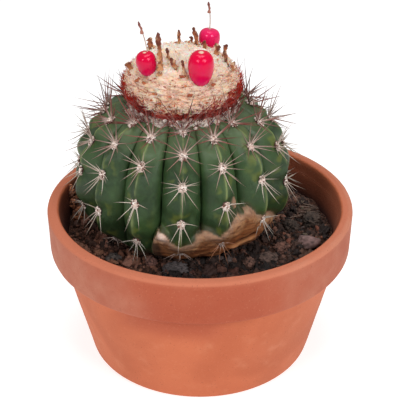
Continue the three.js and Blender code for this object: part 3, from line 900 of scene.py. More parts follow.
# Further spines that only the young areoles near the top carry.
TOP_SPINES = ((22, 52, 0.95), (-30, 46, 1.0), (62, 40, 0.9), (-66, 44, 0.85), (160, 58, 0.9))

# The spine that stands off the skin on the areoles at middle height.
CENTRAL_SPINES = ((172, 66, 0.92),)

# Places along the rib, in millimetres above the equator. Areoles below the first have dusty spines and wool
# drawn darker. Those from the second to the third carry a central spine. Those above the third are young, with
# spines all round, and the thin ones of those above the fourth are longer.
LOW_AREOLE = -11
MIDDLE_AREOLE = -12
YOUNG_AREOLE = 14
TOP_AREOLE = 26
TOP_SPINE_GAIN = 1.3

# How far a spine's turn and rise may vary, in degrees, and its clearance from the cap.
TURN_SPREAD = 16
RISE_SPREAD = 14
CAP_CLEARANCE = 3.4

# An areole's wool: how many balls, the turn between them in radians, and half its width.
PAD_BALLS = 26
PAD_TURN = 2.4
PAD_HALF_WIDTH = 1.65


def youth_of(place):
    """0 for old areoles, up to 1 for those at the cap."""
    return ease(place, 13, 44)


def clear_tip(tip):
    """Moves a spine's tip clear of the cap, the soil and the pot."""
    tip = np.array(tip)
    tip[2] = max(tip[2], SOIL_LEVEL + 4)
    from_cap = tip[:2] - STEM_AXIS
    reach, clear = np.linalg.norm(from_cap), CAP_RADIUS + CAP_CLEARANCE
    if tip[2] > STEM_TOP_Z - 2 and reach < clear:
        tip[:2] = STEM_AXIS + from_cap / reach * clear
    limit = MOUTH_RADIUS - 3 if tip[2] < POT_HEIGHT + 2 else RIM_RADIUS - 3
    tip[:2] *= min(1, limit / np.linalg.norm(tip[:2]))
    return tip


def areoles():
    """Each areole's place along its rib, its seat and its directions to the side, up the rib and outwards."""
    for index, rib in enumerate(RIBS):
        turn = index / len(RIBS)
        for place in areole_places(rib):
            latitude = latitude_of(place)
            seat = stem_points(turn, latitude)[0]
            up = unit(stem_points(turn, latitude + 0.02)[0] - seat)
            bearing = rib_bearings(turn, latitude)[0]
            side = np.array([math.cos(bearing), math.sin(bearing), 0])
            yield place, seat, side, up, np.cross(side, up)


def spine_tips(areole, spines, full, draw):
    _, seat, side, up, out = areole
    tips = []
    for around, rise, share in spines:
        turn_round = math.radians(around + (draw() - 0.5) * TURN_SPREAD)
        lift = math.radians(rise + (draw() - 0.5) * RISE_SPREAD)
        length = full * share * (0.88 + 0.24 * draw())
        along = up * math.cos(turn_round) + side * math.sin(turn_round)
        tips.append(clear_tip(seat + (along * math.cos(lift) + out * math.sin(lift)) * length))
    return tips


def add_spines(batch, areole, draw, extra_draw, draws):
    place, seat, _, _, out = areole
    youth = youth_of(place)
    full = np.interp(place, (LOWEST_AREOLE, 44), (11.5, 16))
    extra = EXTRA_SPINES + TOP_SPINES if place > YOUNG_AREOLE else EXTRA_SPINES[:2]
    if MIDDLE_AREOLE < place <= YOUNG_AREOLE:
        extra += CENTRAL_SPINES
    gain = TOP_SPINE_GAIN if place > TOP_AREOLE else 1
    tips = spine_tips(areole, SPINE_PATTERN, full, draw) + spine_tips(areole, extra, full * gain, extra_draw)
    tips = np.array(tips)
    count = len(tips)
    bend = -out * (0.1 + 0.3 * draws.random((count, 1))) + draws.normal(size=(count, 3)) * 0.1
    radius = np.array(SPINE_RADII + [0.2 + 0.08 * youth] * len(extra)) * (1 + 0.25 * youth)
    form, share = hairs(seat + unit(tips - seat) * 0.7, tips, bend, radius, 6, 7)
    old = tones(draws.random(count), (206, 194, 180), (160, 140, 124))
    young = tones(draws.random(count), (142, 80, 72), (92, 42, 40))
    dusty = (172, 116, 84) if seat[0] > 5 else (164, 144, 134)
    grey = (184, 178, 168) if place > LOW_AREOLE else dusty
    tint = towards(blend(youth, old, young), 1 - ease(place, -10, 2), grey)[:, None]
    tint = towards(tint, (1 - ease(share, 0.03, 0.35)) * 0.8, (226, 208, 196))
    batch.add(form, tint=towards(tint, ease(share, 0.6, 1) * 0.75, (92, 58, 52)))


def add_pad(batch, areole, tuft, draws):
    """The wool of an areole: balls in a spiral over a dark core."""
    place, seat, side, up, out = areole
    ring = np.sqrt((np.arange(PAD_BALLS) + 0.5) / PAD_BALLS)
    spin = np.arange(PAD_BALLS) * PAD_TURN + draws.random() * 6
    sideways = ring * np.cos(spin) * PAD_HALF_WIDTH
    upwards = ring * np.sin(spin) * (2.2 + 0.4 * youth_of(place)) - 0.5
    outwards = 1.25 * np.sqrt(1 - 0.75 * ring ** 2) - 0.25
    middles = seat + side * sideways[:, None] + up * upwards[:, None] + out * outwards[:, None]
    axes = random_axes(0.32 + 0.2 * draws.random(PAD_BALLS), draws, 0.8, 0.5)
    form = lumps(tuft, middles, axes, 0.1, draws)
    white = tones(draws.random(PAD_BALLS), (255, 246, 238), (230, 200, 186))
    white[draws.random(PAD_BALLS) < 0.14] = linear(128, 84, 70)
    # The wool of the low areoles is drawn at half brightness.
    batch.add(form, tint=white * (0.5 if place < LOW_AREOLE else 1.0))
    core = np.array([[side * 1.7, up * 2.3, out * 0.9]])
    batch.add(lumps(tuft, [seat - up * 0.4], core, 0.05, draws), tint=linear(78, 46, 40))


def make_spines_and_pads():
    draw, extra_draw = SeededRandom(7), SeededRandom(11)
    draws = np.random.default_rng(5)
    spines, pads = Batch(), Batch()
    tuft = ball(2)
    for areole in areoles():
        add_spines(spines, areole, draw, extra_draw, draws)
        add_pad(pads, areole, tuft, draws)
    spines.piece("stem_spines", "stem", tinted_finish("spine", 0.55, 1.2, 0.05, 0.25, specular_ior_level=0.2))
    pads.piece("areole_wool", "wool", tinted_finish("areole_wool", 0.95, 0.5, 0.25, 0.4, sheen_weight=0.3))


# ---- Cap ----

# The wool's mesh.
CAP_COLUMNS, CAP_ROWS = 560, 240


def rounded_line(points, times):
    """The open line with its corners cut, again and again, ends kept."""
    line = np.array(points, dtype=float)
    for _ in range(times):
        first = line[:-1] * 0.75 + line[1:] * 0.25
        second = line[:-1] * 0.25 + line[1:] * 0.75
        line = np.concatenate([line[:1], np.stack([first, second], axis=1).reshape(-1, 2), line[-1:]])
    return line


def cap_surface():
    """A grid of points on the wool's smooth form, with normals and the distance along the profile."""
    line = rounded_line(CAP_PROFILE[1:], 3)
    step = np.concatenate([[0], np.cumsum(np.linalg.norm(np.diff(line, axis=0), axis=1))])
    along = np.linspace(0, step[-1] - 0.6, CAP_ROWS)[:, None]
    radius, height = (np.interp(along, step, line[:, k]) for k in range(2))
    grid = on_bearing(bearings_round(CAP_COLUMNS)[None], radius, CAP_BOTTOM_Z + height, STEM_AXIS)
    return grid, surface_normals(grid), np.broadcast_to(along, grid.shape[:2])


def red_edge(points):
    """How far the ragged upper edge of the red band lies below its mean place, in millimetres. The band climbs
    higher on the plant's left and right."""
    sides = ease(np.abs(points[..., 0] - STEM_AXIS[0]), 10, CAP_RADIUS)
    return 3.2 * value_noise(points, 5, 33) + 1.8 * value_noise(points, 1.8, 34) - 5.5 * sides


def matted_wool():
    """The wool's uneven surface: its grid, smooth normals, distance along the profile, creases and flank."""
    grid, normals, along = cap_surface()
    flank = 1 - ease(along, 22, 32)
    matting = value_noise(grid * [1, 1, 2.7], 4.8, 24) + 0.4 * value_noise(grid * [1, 1, 2.7], 2, 25)
    crease = bump_at(matting, 0.2) * (0.3 + 0.7 * flank)
    fluff = rough_noise(grid * [1, 1, 1.8], 2.2, 3, 26)
    lift = 0.25 - 1.1 * crease + 0.42 * fluff + 0.4 * value_noise(grid, 7, 27)
    taper = 0.9 * flank + 1.1 * (1 - ease(along, 3, 10))
    lift = (lift - taper * ease(along, 1, 4)) * ease(along, 0, 1.5)
    return grid + normals * lift[..., None], normals, along, crease, flank


def make_wool(wool):
    grid, _, along, crease, flank = wool
    wander = 0.9 * rough_noise(grid, 9, 2, 21)
    marks = {
        "valley": crease * flank,
        "red_band": ease(along + wander, 3.4, 4.8) * (1 - ease(along + red_edge(grid), 7, 9.5)),
        "foot": 1 - ease(along + wander, 3.4, 5),
        "flank": flank,
    }
    form = closed_rings(grid, (*STEM_AXIS, CAP_BOTTOM_Z), grid[-1].mean(axis=0) + [0, 0, 0.05])
    add_piece("cap_wool", "wool", wool_finish(), form, ["cephalium"],
              **{name: np.append(mark, [0, 0]) for name, mark in marks.items()})


def scattered_on_cap(wool, count, low, high, draws):
    """Random places on the wool between two distances along its profile, with their normals."""
    grid, normals, along = wool[:3]
    rows = np.nonzero((along[:, 0] >= low) & (along[:, 0] <= high))[0]
    circle = from_stem(grid[rows, 0, 0], grid[rows, 0, 1])
    row = draws.choice(rows, count, p=circle / circle.sum())
    column = draws.integers(0, grid.shape[1], count)
    return grid[row, column], normals[row, column], along[row, column]


def make_fibres(wool):
    """Matted fibres, which lie round the flank and every way on the top."""
    draws = np.random.default_rng(31)
    seat, normal, along = scattered_on_cap(wool, 5500, 7, 46, draws)
    count = len(seat)
    top = ease(along, 24, 34)[:, None]
    round_it = unit(np.cross([0, 0, 1], normal)) * draws.choice([-1, 1], (count, 1))
    anyhow = draws.normal(size=seat.shape) * (0.28 + 0.9 * top)
    direction = unit(round_it * (1 - 0.7 * top) + anyhow + normal * (0.16 + 0.25 * top))
    length = (1.4 + 2.2 * draws.random(count))[:, None] * (1 - 0.35 * top)
    root = seat - normal * 0.25
    form, _ = hairs(root, root + direction * length, normal * 0.25, 0.13, 4, 4)
    tint = tones(draws.random(count), (255, 240, 226), (250, 214, 184))
    rusty = draws.random(count) < 0.01 + 0.09 * (1 - ease(along, 14, 24))
    tint[rusty] = linear(196, 112, 78)
    tint[along + red_edge(seat) < 8] = linear(170, 50, 32)
    finish = tinted_finish("wool_fibre", 0.9, 0.8, 0.02, 0.12, sheen_weight=0.2, subsurface_weight=0.4,
                           subsurface_scale=0.001)
    add_piece("cap_fibres", "wool", finish, form, tint=tint)


# Bristles on the cap: how many, distances along its profile, lengths, radius, spread, upward lean, share of
# pale colour at the root, whether they keep to the ragged red band, and the two screen colours between which
# they vary.
BRISTLES = (
    (3400, (3.6, 16), (1.8, 4.6), 0.16, 0.4, 1.8, 0.1, True, (206, 44, 26), (124, 22, 18)),
    (1000, (11, 23), (1, 2.6), 0.1, 0.3, 0.1, 0.1, False, (186, 56, 36), (196, 108, 70)),
    (340, (0.8, 6), (4, 9.6), 0.24, 0.38, 2.2, 0.5, True, (140, 74, 66), (72, 28, 26)),
)


def make_bristles(wool):
    draws = np.random.default_rng(37)
    batch = Batch()
    for count, places, lengths, radius, spread, lean, pale, banded, light, dark in BRISTLES:
        seat, normal, along = scattered_on_cap(wool, count, *places, draws)
        if banded:
            kept = along + red_edge(seat) < 8 + 3 * draws.random(count) ** 2
            seat, normal = seat[kept], normal[kept]
        count = len(seat)
        direction = unit(normal + draws.normal(size=seat.shape) * spread + [0, 0, lean])
        root = seat - normal * 0.6
        tip = root + direction * (0.5 + draws.uniform(*lengths, (count, 1)))
        form, share = hairs(root, tip, normal * 0.2, radius, 4, 5)
        tint = tones(draws.random(count), light, dark)[:, None]
        batch.add(form, tint=towards(tint, pale * (1 - ease(share, 0.05, 0.4)), (206, 184, 174)))
    batch.piece("cap_bristles", "wool", tinted_finish("bristle", 0.6, 1.0, 0.02, 0.2, specular_ior_level=0.15))


def make_foot_tufts(wool):
    """The young woolly areoles that crowd round the foot of the cap, and rust-coloured tufts on its flank."""
    draws = np.random.default_rng(41)
    shape = ball(2)
    batch = Batch()
    seat, normal, _ = scattered_on_cap(wool, 420, 0.2, 4.6, draws)
    axes = random_axes(0.55 + 0.5 * draws.random(len(seat)), draws, 0.7, 0.5)
    form = lumps(shape, seat + normal * 0.15, axes, 0.12, draws)
    batch.add(form, tint=tones(draws.random(len(seat)), (255, 242, 232), (168, 122, 110)))
    seat, normal, along = scattered_on_cap(wool, 130, 11, 38, draws)
    kept = draws.random(len(seat)) < np.where(along < 25, 1, 0.25)
    seat, normal = seat[kept], normal[kept]
    round_it = unit(np.cross([0, 0, 1], normal))
    sizes = (0.4 + 0.9 * draws.random((len(seat), 1, 1)) ** 2) * np.array([[1.0], [0.6], [0.5]])
    axes = np.stack([round_it, np.cross(normal, round_it), normal], axis=1) * sizes
    form = lumps(shape, seat + normal * 0.1, axes, 0.5, draws)
    batch.add(form, tint=tones(draws.random(len(seat)), (212, 132, 80), (150, 62, 42)))
    batch.piece("cap_tufts", "wool", tinted_finish("cap_tuft", 0.95, 0.6, 0.2, 0.4))


def cap_height_at(radius):
    """Height of the wool's dome over the cap's foot, at a distance from its axis."""
    return np.interp(radius, *zip(*reversed(CAP_PROFILE[4:])))


# A withered flower: sides and steps of its tube, and its radius along its length for a thickness of 1.
TUBE_SIDES, TUBE_STEPS = 16, 40
TUBE_PLACES = (0, 0.3, 0.6, 0.82, 0.93, 0.985)
TUBE_RADII = (1.7, 1.15, 0.95, 1.15, 0.85, 0.3)


def withered_tube(root, tip, thickness, seed, rough=0.75):
    """A shrivelled flower: a creased, flattened tube with a torn end. Returns its form and shares of its
    length."""
    root, tip = np.array(root), np.array(tip)
    direction = unit(tip - root)
    across = unit(np.cross(direction, [math.sin(seed * 2.1), math.cos(seed * 2.1), 0.1]))
    other = np.cross(direction, across)
    share = np.linspace(0, TUBE_PLACES[-1], TUBE_STEPS)
    still, shift = share * 0, share * 0 + seed
    radius = np.interp(share, TUBE_PLACES, TUBE_RADII) * thickness
    radius = radius * (1 + 0.3 * value_noise(np.stack([share * 7, still, shift], axis=1), 1, seed))
    sway = value_noise(np.stack([share * 3, shift, still], axis=1), 1, seed) * 0.9 * thickness
    angle = bearings_round(TUBE_SIDES) + share[:, None] * 2.6
    ring = across * np.cos(angle)[..., None] + 0.62 * other * np.sin(angle)[..., None]
    middle = root + (tip - root) * share[:, None] + across * sway[:, None]
    creases = 1 + 0.4 * rough * np.sin(angle * 3 + seed)
    creases = creases + rough * rough_noise(ring * 2 + middle[:, None], 1.1, 3, seed)
    grid = middle[:, None] + ring * (radius[:, None] * np.maximum(creases, 0.25))[..., None]
    return closed_rings(grid, root, tip), np.append(np.repeat(share, TUBE_SIDES), [0, 1])


def make_dried_flowers():
    batch = Batch()
    for seed, (bearing, radius, height, lean, thickness) in enumerate(DRIED_FLOWERS):
        root_z = CAP_BOTTOM_Z + cap_height_at(radius)
        root = on_bearing(math.radians(bearing), radius, root_z - 2.5, STEM_AXIS)
        tip = root + [lean, 0, height + 2.5]
        form, share = withered_tube(root, tip, thickness * 1.1, seed)
        pale = ease(value_noise(form[0], 1.3, seed + 40), 0.2, 0.5)
        mottle = ease(rough_noise(form[0], 1.5, 2, seed), 0.15, 0.45)
        tint = tones(ease(share, 0.1, 0.75), (210, 150, 104), (176, 104, 66))
        tint = towards(tint, ease(share, 0.7, 0.95) * 0.85, (98, 46, 38))
        tint = towards(tint, pale * 0.7, (232, 196, 158))
        batch.add(form, tint=towards(tint, mottle * 0.85, (104, 42, 30)))
    batch.piece("dried_flowers", "wool", tinted_finish("dried_flower", 0.85, 0.6, 0.25, 0.45))


# ---- Berries ----

# A berry's mesh, and how many faint folds run round it.
BERRY_COLUMNS, BERRY_RINGS = 96, 72
BERRY_FOLDS = 5


def turned_by(points, side_degrees, front_degrees):
    """Points turned about +Y and then about +X."""
    side, front = math.radians(side_degrees), math.radians(front_degrees)
    x = points[..., 0] * math.cos(side) + points[..., 2] * math.sin(side)
    z = points[..., 2] * math.cos(side) - points[..., 0] * math.sin(side)
    y = points[..., 1] * math.cos(front) - z * math.sin(front)
    return np.stack([x, y, points[..., 1] * math.sin(front) + z * math.cos(front)], axis=-1)


def make_berry(name, middle, width, length, lean, flower, scar_radius, colours):
    middle = np.array(middle)
    polar = np.linspace(0, math.pi, BERRY_RINGS + 2)[1:-1, None]
    bearing = bearings_round(BERRY_COLUMNS)[None]
    radius = width / 2 * np.sin(polar) ** 0.7 * (1 - 0.13 * np.cos(polar))
    radius = radius * (1 + 0.012 * np.cos(BERRY_FOLDS * bearing))
    height = -(length / 2) * np.cos(polar) * (1 - 0.06 * ease(polar, math.pi / 2, math.pi))
    grid = on_bearing(bearing, radius, height)
    grid = grid + unit(grid) * (0.07 * value_noise(grid, 3.2, 8))[..., None]
    points, faces = closed_rings(grid, (0, 0, -length / 2), (0, 0, length / 2 * 0.935))
    share = points[:, 2] / length + 0.5
    from_axis = np.hypot(points[:, 0], points[:, 1]) + 0.18 * value_noise(points, 0.8, 2)
    scar = (1 - ease(from_axis, scar_radius * 0.7, scar_radius)) * (share > 0.7)
    add_piece(f"berry_{name}", "berry", berry_finish(f"fruit_{name}_skin", *colours),
              (turned_by(points, *lean) + middle, faces), [f"fruit_{name}"], height=share, scar=scar)
    flower_height, flower_reach = flower
    if flower_height:
        top = middle + [0, 0, length / 2]
        make_thread(f"berry_flower_{name}", top + [-flower_reach * 0.2, 0, -1.5],
                    top + [flower_reach, 0, flower_height])


def make_thread(name, root, tip):
    """The dried flower on a berry: a pale thread with a shrivelled brown tip."""
    neck = root + (tip - root) * 0.62
    batch = Batch()
    form, share = hairs([root], [root + (neck - root) * 1.25], [[0.35, 0, 0]], 0.26, 8, 14, 0.7)
    batch.add(form, tint=tones(ease(share, 0.1, 0.9), (214, 196, 180), (176, 136, 120)))
    form, share = withered_tube(neck, tip, 0.46, 3, 0.2)
    batch.add(form, tint=tones(ease(share, 0.1, 0.9), (176, 116, 100), (122, 62, 54)))
    batch.piece(name, "berry", tinted_finish(name, 0.8, 0.7, 0.15, 0.35))


# ---- Soil, stones and litter ----

# Low mounds in the soil: x, y, breadth and height, as in the part's source.
MOUNDS = ((-55, 12, 8, 5), (52, 24, 9, 1.6), (47, -6, 10, 1.2), (20, -44, 12, 0.8), (-30, -42, 12, 0.9))
SOIL_WAVE = 1.3
LUMP_COUNT = 30
SMALLEST_LUMP = 1.8
LARGEST_LUMP = 4.4
LUMP_SPACING = 0.85

# Each stone's x, y and length, as in the part's source.
STONES = (
    (49.7, -14.6, 11), (42.9, 0.8, 9.2), (53, 4.8, 9.6), (-38.5, -26.5, 9), (-10.3, -35.2, 12.5),
    (-21.2, -31, 6.4), (21.8, -32.5, 7.6), (18, 54.6, 8), (-36, 46.2, 7), (30.4, -27, 10.5), (37.4, -18, 8.6),
)

# The soil's mesh.
SOIL_COLUMNS, SOIL_RINGS = 420, 130

# Distance from the stem's axis and height of the edge of the root's hole, and how near the crumbs come.
HOLE_EDGE = (38, 62)
CRUMBS_FROM_STEM = 33


def bed_height(x, y):
    """Height of the soil's main form at x, y, as in the part's source."""
    wave = np.sin(x * 0.21 + 1.3) * np.cos(y * 0.17 - 0.4) + 0.6 * np.sin(x * 0.43 - y * 0.37)
    heap = np.cos(np.minimum(np.hypot(x, y) / SOIL_LINE_RADIUS, 1) * math.pi / 2)
    height = SOIL_LEVEL - 0.9 + heap + SOIL_WAVE * 0.6 * wave
    for mound_x, mound_y, breadth, rise in MOUNDS:
        height = height + rise * np.exp(-((x - mound_x) ** 2 + (y - mound_y) ** 2) / breadth ** 2)
    return height


def soil_height(points):
    """Height of the soil at each x, y: a rough bed, hollowed out for the stem's root."""
    x, y = points[..., 0], points[..., 1]
    flat = np.stack([x, y, np.zeros_like(x)], axis=-1)
    height = bed_height(x, y) + 0.35 * rough_noise(flat, 3.5, 3, 51) + 0.25 * np.abs(value_noise(flat, 1.2, 55))
    hole = [(radius + 0.6, z - SEAT_GAP) for radius, z in ROOT_PROFILE] + [HOLE_EDGE]
    return np.minimum(height, np.interp(from_stem(x, y), *zip(*hole)))


def soil_lumps():
    """Places, sizes and turns of the large lumps, by the rule in the part's source."""
    draw = SeededRandom(41)
    lumps_found = []
    while len(lumps_found) < LUMP_COUNT:
        x, y = ((2 * draw() - 1) * SOIL_LINE_RADIUS for _ in range(2))
        size = SMALLEST_LUMP + (LARGEST_LUMP - SMALLEST_LUMP) * draw() ** 2
        turn = draw() * math.pi
        if (math.hypot(x, y) < SOIL_LINE_RADIUS - size - 1
                and from_stem(x, y) > ROOT_PROFILE[-1][0] + 7 + size
                and all(math.hypot(x - stone[0], y - stone[1]) > stone[2] / 2 + size for stone in STONES)
                and all(math.hypot(x - lump[0], y - lump[1]) > LUMP_SPACING * (lump[2] + size)
                        for lump in lumps_found)):
            lumps_found.append((x, y, size, turn))
    return lumps_found


def make_soil():
    bearing = bearings_round(SOIL_COLUMNS)[None]
    bed = on_bearing(bearing, np.linspace(SOIL_LINE_RADIUS - 0.35, 0.4, SOIL_RINGS)[:, None], 0.0)
    bed[..., 2] = soil_height(bed)
    wall_radius = np.interp(bed[:1, :, 2], (FLOOR_THICKNESS, SOIL_LEVEL, POT_HEIGHT),
                            (FLOOR_RADIUS, SOIL_LINE_RADIUS, MOUTH_RADIUS)) - 0.4
    bed[0] = on_bearing(bearing[0], wall_radius[0], bed[0, :, 2])
    low = FLOOR_THICKNESS + SEAT_GAP
    foot = on_bearing(bearing, FLOOR_RADIUS - np.array([[2.4], [0.5]]), np.array([[low], [low + 2]]))
    form = closed_rings(np.concatenate([foot, bed]), (0, 0, low), (0, 0, bed[-1, :, 2].mean()))
    add_piece("potting_soil", "soil", soil_finish(), form, ["soil"])


def soil_places(count, draws, margin):
    """Random x, y on the open soil, between the stem's foot and the pot's wall."""
    kept = np.zeros((0, 2))
    while len(kept) < count:
        tries = draws.uniform(-SOIL_LINE_RADIUS, SOIL_LINE_RADIUS, (count, 2))
        in_pot = np.hypot(*tries.T) < SOIL_LINE_RADIUS - margin
        kept = np.concatenate([kept, tries[in_pot & (from_stem(*tries.T) > CRUMBS_FROM_STEM)]])
    return kept[:count]


def with_facets(sphere, count, seed, cut, reach):
    """Distance from the middle to a ball's surface after flats are cut off it in random directions."""
    facets = unit(np.random.default_rng(seed).normal(size=(count, 3)))
    return np.minimum(np.min(cut / np.maximum(sphere @ facets.T, 0.3), axis=1), reach)


def angular_grain(subdivisions, seed):
    """A ball with flats cut off it and a rough skin."""
    points, faces = ball(subdivisions)
    reach = with_facets(points, 11, seed, 0.72, 1.15) + 0.2 * rough_noise(points, 0.7, 4, seed)
    return points * reach[:, None], faces


# The litter heap that leans on the pot's wall: middle and half-widths of each part, and its crumbs.
HEAP_PARTS = (
    ((-57.4, 8, 60.5), (2.8, 4.8, 4.4), 220), ((-59.6, 11.5, 65), (2, 3.4, 3.6), 150),
    ((-60.5, 14.2, 68.4), (1.4, 2.4, 2.8), 90), ((-61, 15.6, 70.8), (1, 1.8, 1.8), 50),
)

# Crumbs: how many, subdivisions, smallest and largest half-width, clearance from the wall, and how far the
# middle lies above the soil, in half-widths. Each size comes in so many kinds of grain.
CRUMBS = (
    (5600, 1, 0.3, 0.75, 0.9, 0.3), (1500, 2, 0.7, 1.4, 1.8, 0.3), (324, 3, 1.3, 2.3, 2.8, 0.15),
    (120, 4, 2.4, 3.8, 4.2, -0.25),
)
GRAIN_KINDS = 12

# Screen colours of crumbs and how common each is.
CRUMB_TONES = (
    ((36, 23, 19), 0.38), ((70, 47, 38), 0.36), ((112, 78, 64), 0.14), ((86, 76, 74), 0.08),
    ((112, 66, 50), 0.04),
)


def soil_light_and_shade(x, y):
    """How light the crumbs are at x, y: painted light, also reddish, on the plant's left, and painted shade in
    front.
    """
    left = ease(-x, 12, 34)
    right = ease(x, 14, 34)
    front = ease(-y, 18, 40) * (1 - left)
    sides = left[..., None] * [3.0, 2.3, 1.7] + right[..., None] * 0.2
    return 1.1 + sides - front[..., None] * [0.62, 0.72, 0.74]


def crumb_tones(count, draws, x, y):
    shades = np.array([linear(*tone) for tone, _ in CRUMB_TONES])
    picked = shades[draws.choice(len(shades), count, p=[share for _, share in CRUMB_TONES])]
    # Painted light and shade on the soil: lighter on the plant's left, darker in front.
    picked = picked * (0.5 + 0.85 * draws.random((count, 1))) * soil_light_and_shade(x, y)
    return np.minimum(picked, linear(136, 92, 76))


def add_litter_heap(batch, draws):
    """The crumbly heap of litter that leans on the pot's wall, left of the stem."""
    core, faces = angular_grain(4, 90)
    core = core * (1 + 0.16 * rough_noise(core, 0.5, 3, 91))[:, None]
    shape = angular_grain(2, 92)
    for place, half_widths, count in HEAP_PARTS:
        batch.add((core * half_widths + place, [faces]), tint=linear(84, 52, 38))
        seats = unit(draws.normal(size=(count, 3))) * np.array(half_widths) * 0.92 + place
        axes = random_axes(0.4 + 0.6 * draws.random(count), draws, 0.6, 0.6)
        form = lumps(shape, seats, axes, 0.1, draws)
        batch.add(form, tint=tones(draws.random(count), (190, 120, 80), (84, 50, 36)))


def make_crumbs():
    draws = np.random.default_rng(61)
    batch = Batch()
    for count, subdivisions, small, large, margin, rise in CRUMBS:
        number = count // GRAIN_KINDS
        for kind in range(GRAIN_KINDS):
            shape = angular_grain(subdivisions, kind)
            middles = np.pad(soil_places(number, draws, margin), ((0, 0), (0, 1)))
            sizes = small + (large - small) * draws.random(number) ** 1.8
            middles[:, 2] = soil_height(middles) + rise * sizes
            axes = random_axes(sizes, draws, 0.65, 0.5)
            points, faces = lumps(shape, middles, axes, 0.05, draws)
            centres = np.repeat(middles, len(shape[0]), axis=0)
            swell = 1 + 0.55 / max(1, large / 2.6) * rough_noise(points, 1.1, 3, 63)
            points = centres + (points - centres) * swell[:, None]
            batch.add((points, faces), tint=crumb_tones(number, draws, *middles.T[:2]))
    for seed, (x, y, size, turn) in enumerate(soil_lumps()):
        grain, faces = angular_grain(4, 40 + seed)
        cos, sin = math.cos(turn), math.sin(turn)
        axes = np.array([[cos, sin, 0], [-sin * 0.8, cos * 0.8, 0], [0, 0, 0.75]]) * size
        points = grain @ axes + [x, y, bed_height(x, y) + size * 0.2]
        tint = crumb_tones(1, draws, x, y) * (1 + 0.35 * value_noise(grain, 0.4, seed))[:, None]
        batch.add((points, [faces]), tint=tint)
    add_litter_heap(batch, draws)
    batch.piece("soil_crumbs", "soil", tinted_finish("soil_crumb", 0.8, 0.8, 0.4, 0.7))


# Each stone: screen colour, roughness of its form, and depth of its pits. The first is a faceted pebble.
STONE_LOOKS = (
    ((136, 108, 104), 0.02, 0.0), ((76, 62, 54), 0.22, 0.34), ((80, 66, 58), 0.24, 0.36),
    ((86, 76, 72), 0.2, 0.3), ((88, 80, 80), 0.2, 0.4), ((124, 86, 76), 0.2, 0.2), ((114, 82, 70), 0.24, 0.3),
    ((96, 84, 76), 0.2, 0.25), ((104, 92, 84), 0.16, 0.1), ((96, 76, 68), 0.18, 0.24),
    ((112, 78, 66), 0.22, 0.3),
)


def make_stones():
    sphere, faces = ball(5)
    sphere = unit(sphere)
    for index, (colour, roughness, pit_depth) in enumerate(STONE_LOOKS):
        name, node = f"stone_{index + 1}", f"gravel_{index + 1}"
        if index == 0:
            shape = with_facets(sphere, 9, 6, 0.74, 1.12) + roughness * rough_noise(sphere, 0.4, 2, 3)
        else:
            coarse, fine = rough_noise(sphere, 1.1, 3, 70 + index), rough_noise(sphere, 0.36, 3, index)
            shape = 1 + roughness * (coarse + 0.5 * fine)
        pits = np.maximum(rough_noise(sphere, 0.3, 3, 90 + index) - 0.1, 0)
        shape = shape + 0.5 * pit_depth * rough_noise(sphere, 0.17, 2, 50 + index)
        points = sphere * (shape - pit_depth * pits)[:, None]
        low, high = (np.array(corner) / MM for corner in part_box(node))
        points = (points - points.min(axis=0)) / np.ptp(points, axis=0) * (high - low) + low
        shade = 1.1 * np.minimum(pits, 0.6) * (pit_depth > 0)
        tone = np.maximum(0.9 + 0.45 * rough_noise(sphere, 0.3, 4, 7 + index) - shade, 0.15)
        tint = np.array(linear(*colour)) * tone[:, None]
        finish = tinted_finish(name, 0.9, 0.9, 0.22, 0.45)
        add_piece(name, "gravel", finish, (points, [faces]), [node], tint=tint)


# Dry strands on the soil: x, y, length, turn in degrees and rise of the far end.
STRANDS = (
    (44, 16, 14, 6, 1.5), (43, 12, 15, 2, 1), (46, 19, 12, -4, 1.5), (42, 9.5, 14, 10, 1.8),
    (45, 14, 13, -8, 2.4), (47, 11, 11, 16, 1.2), (50, 20, 8, -12, 0.8), (49, 23, 9, -20, 1),
    (44, 13, 14, 12, 2.2), (46, 16, 12, 0, 0.8), (52, 18, 8, 80, 0.4), (40, 27, 10, -5, 1),
    (-52, 4, 9, 70, 2.5), (-54, 8, 8, 110, 2), (-16, -37, 7, -35, 0.8), (28, -36, 8, 15, 0.6),
    (-38, -36, 8, 160, 0.7), (-10, 58, 10, 20, 0.8), (34, 44, 10, 130, 0.8),
)


def make_strands():
    draws = np.random.default_rng(77)
    batch = Batch()
    for x, y, length, turn, rise in STRANDS:
        root = np.array([x, y, 0.0])
        tip = root + np.array([math.cos(math.radians(turn)), math.sin(math.radians(turn)), 0]) * length
        tip[:2] *= min(1, (SOIL_LINE_RADIUS - 1.5) / np.linalg.norm(tip[:2]))
        root[2] = soil_height(root) + 0.3
        tip[2] = soil_height(tip) + 0.4 + rise
        bend = np.array([[draws.normal() * 0.6, draws.normal() * 0.6, 0.2 + 0.3 * draws.random()]])
        (points, faces), _ = hairs([root], [tip], bend, 0.27, 7, 14, 0.35)
        points = points + 0.15 * np.stack([value_noise(points, 1.5, 5 + k) for k in range(3)], axis=1)
        tint = tones(draws.random(len(points)) * 0.4, (146, 122, 108), (86, 64, 54))
        batch.add((points, faces), tint=tint)
    batch.piece("dry_strands", "soil", tinted_finish("dry_strand", 0.85, 0.7, 0.1, 0.4))


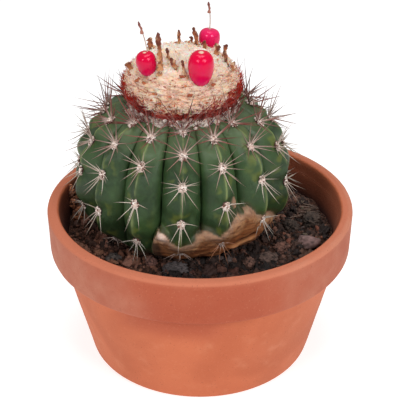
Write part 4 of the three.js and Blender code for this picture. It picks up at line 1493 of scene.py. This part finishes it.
# ---- Stage ----

# Each soft box: name, place, size in metres and power in watts. All face the plant.
LIGHTS = (
    ("left", (-0.6, -0.72, 0.66), 0.38, 3.7), ("right", (0.56, -0.65, 0.62), 0.38, 4.1),
    ("top", (0.0, 0.1, 1.1), 0.6, 4.8),
)
LIT_PLACE = (0, 0, 0.08)


def make_stage():
    """A floor that shines a little, so that it shows pure white, a pale world and soft boxes."""
    bpy.ops.mesh.primitive_plane_add(size=12, location=(0, 0, -0.0001))
    floor = bpy.context.object
    floor.name = "floor"
    finish = Finish("floor", 0.9, specular_ior_level=0.1, base_color=(0.55, 0.55, 0.55, 1),
                    emission_color=(1, 1, 1, 1), emission_strength=0.72)
    floor.data.materials.append(finish.material)

    world = bpy.data.worlds.new("studio")
    world.use_nodes = True
    background = world.node_tree.nodes["Background"]
    background.inputs["Color"].default_value = (1, 1, 1, 1)
    background.inputs["Strength"].default_value = 0.26
    bpy.context.scene.world = world
    bpy.context.scene.view_settings.view_transform = "Standard"

    for name, place, size, power in LIGHTS:
        light = bpy.data.lights.new(name, "AREA")
        light.shape = "SQUARE"
        light.size = size
        light.energy = power
        lamp = add_to_scene(name, light)
        lamp.location = place
        lamp.rotation_euler = (Vector(LIT_PLACE) - Vector(place)).to_track_quat("-Z", "Y").to_euler()


def make_camera():
    data = bpy.data.cameras.new("camera")
    data.sensor_fit = "HORIZONTAL"
    data.sensor_width = SENSOR_WIDTH
    data.lens = SENSOR_WIDTH * FOCAL_PIXELS / IMAGE_PIXELS
    data.clip_start = 0.01
    camera = add_to_scene("camera", data)
    camera.location = CAMERA_PLACE
    camera.rotation_euler = (math.radians(90 - CAMERA_ELEVATION), 0, 0)
    bpy.context.scene.camera = camera


make_camera()
make_stage()
make_pot()
make_soil()
make_crumbs()
make_stones()
make_strands()
make_stem()
make_spines_and_pads()
wool = matted_wool()
make_wool(wool)
make_fibres(wool)
make_foot_tufts(wool)
make_bristles(wool)
make_dried_flowers()
for berry in BERRIES:
    make_berry(*berry)
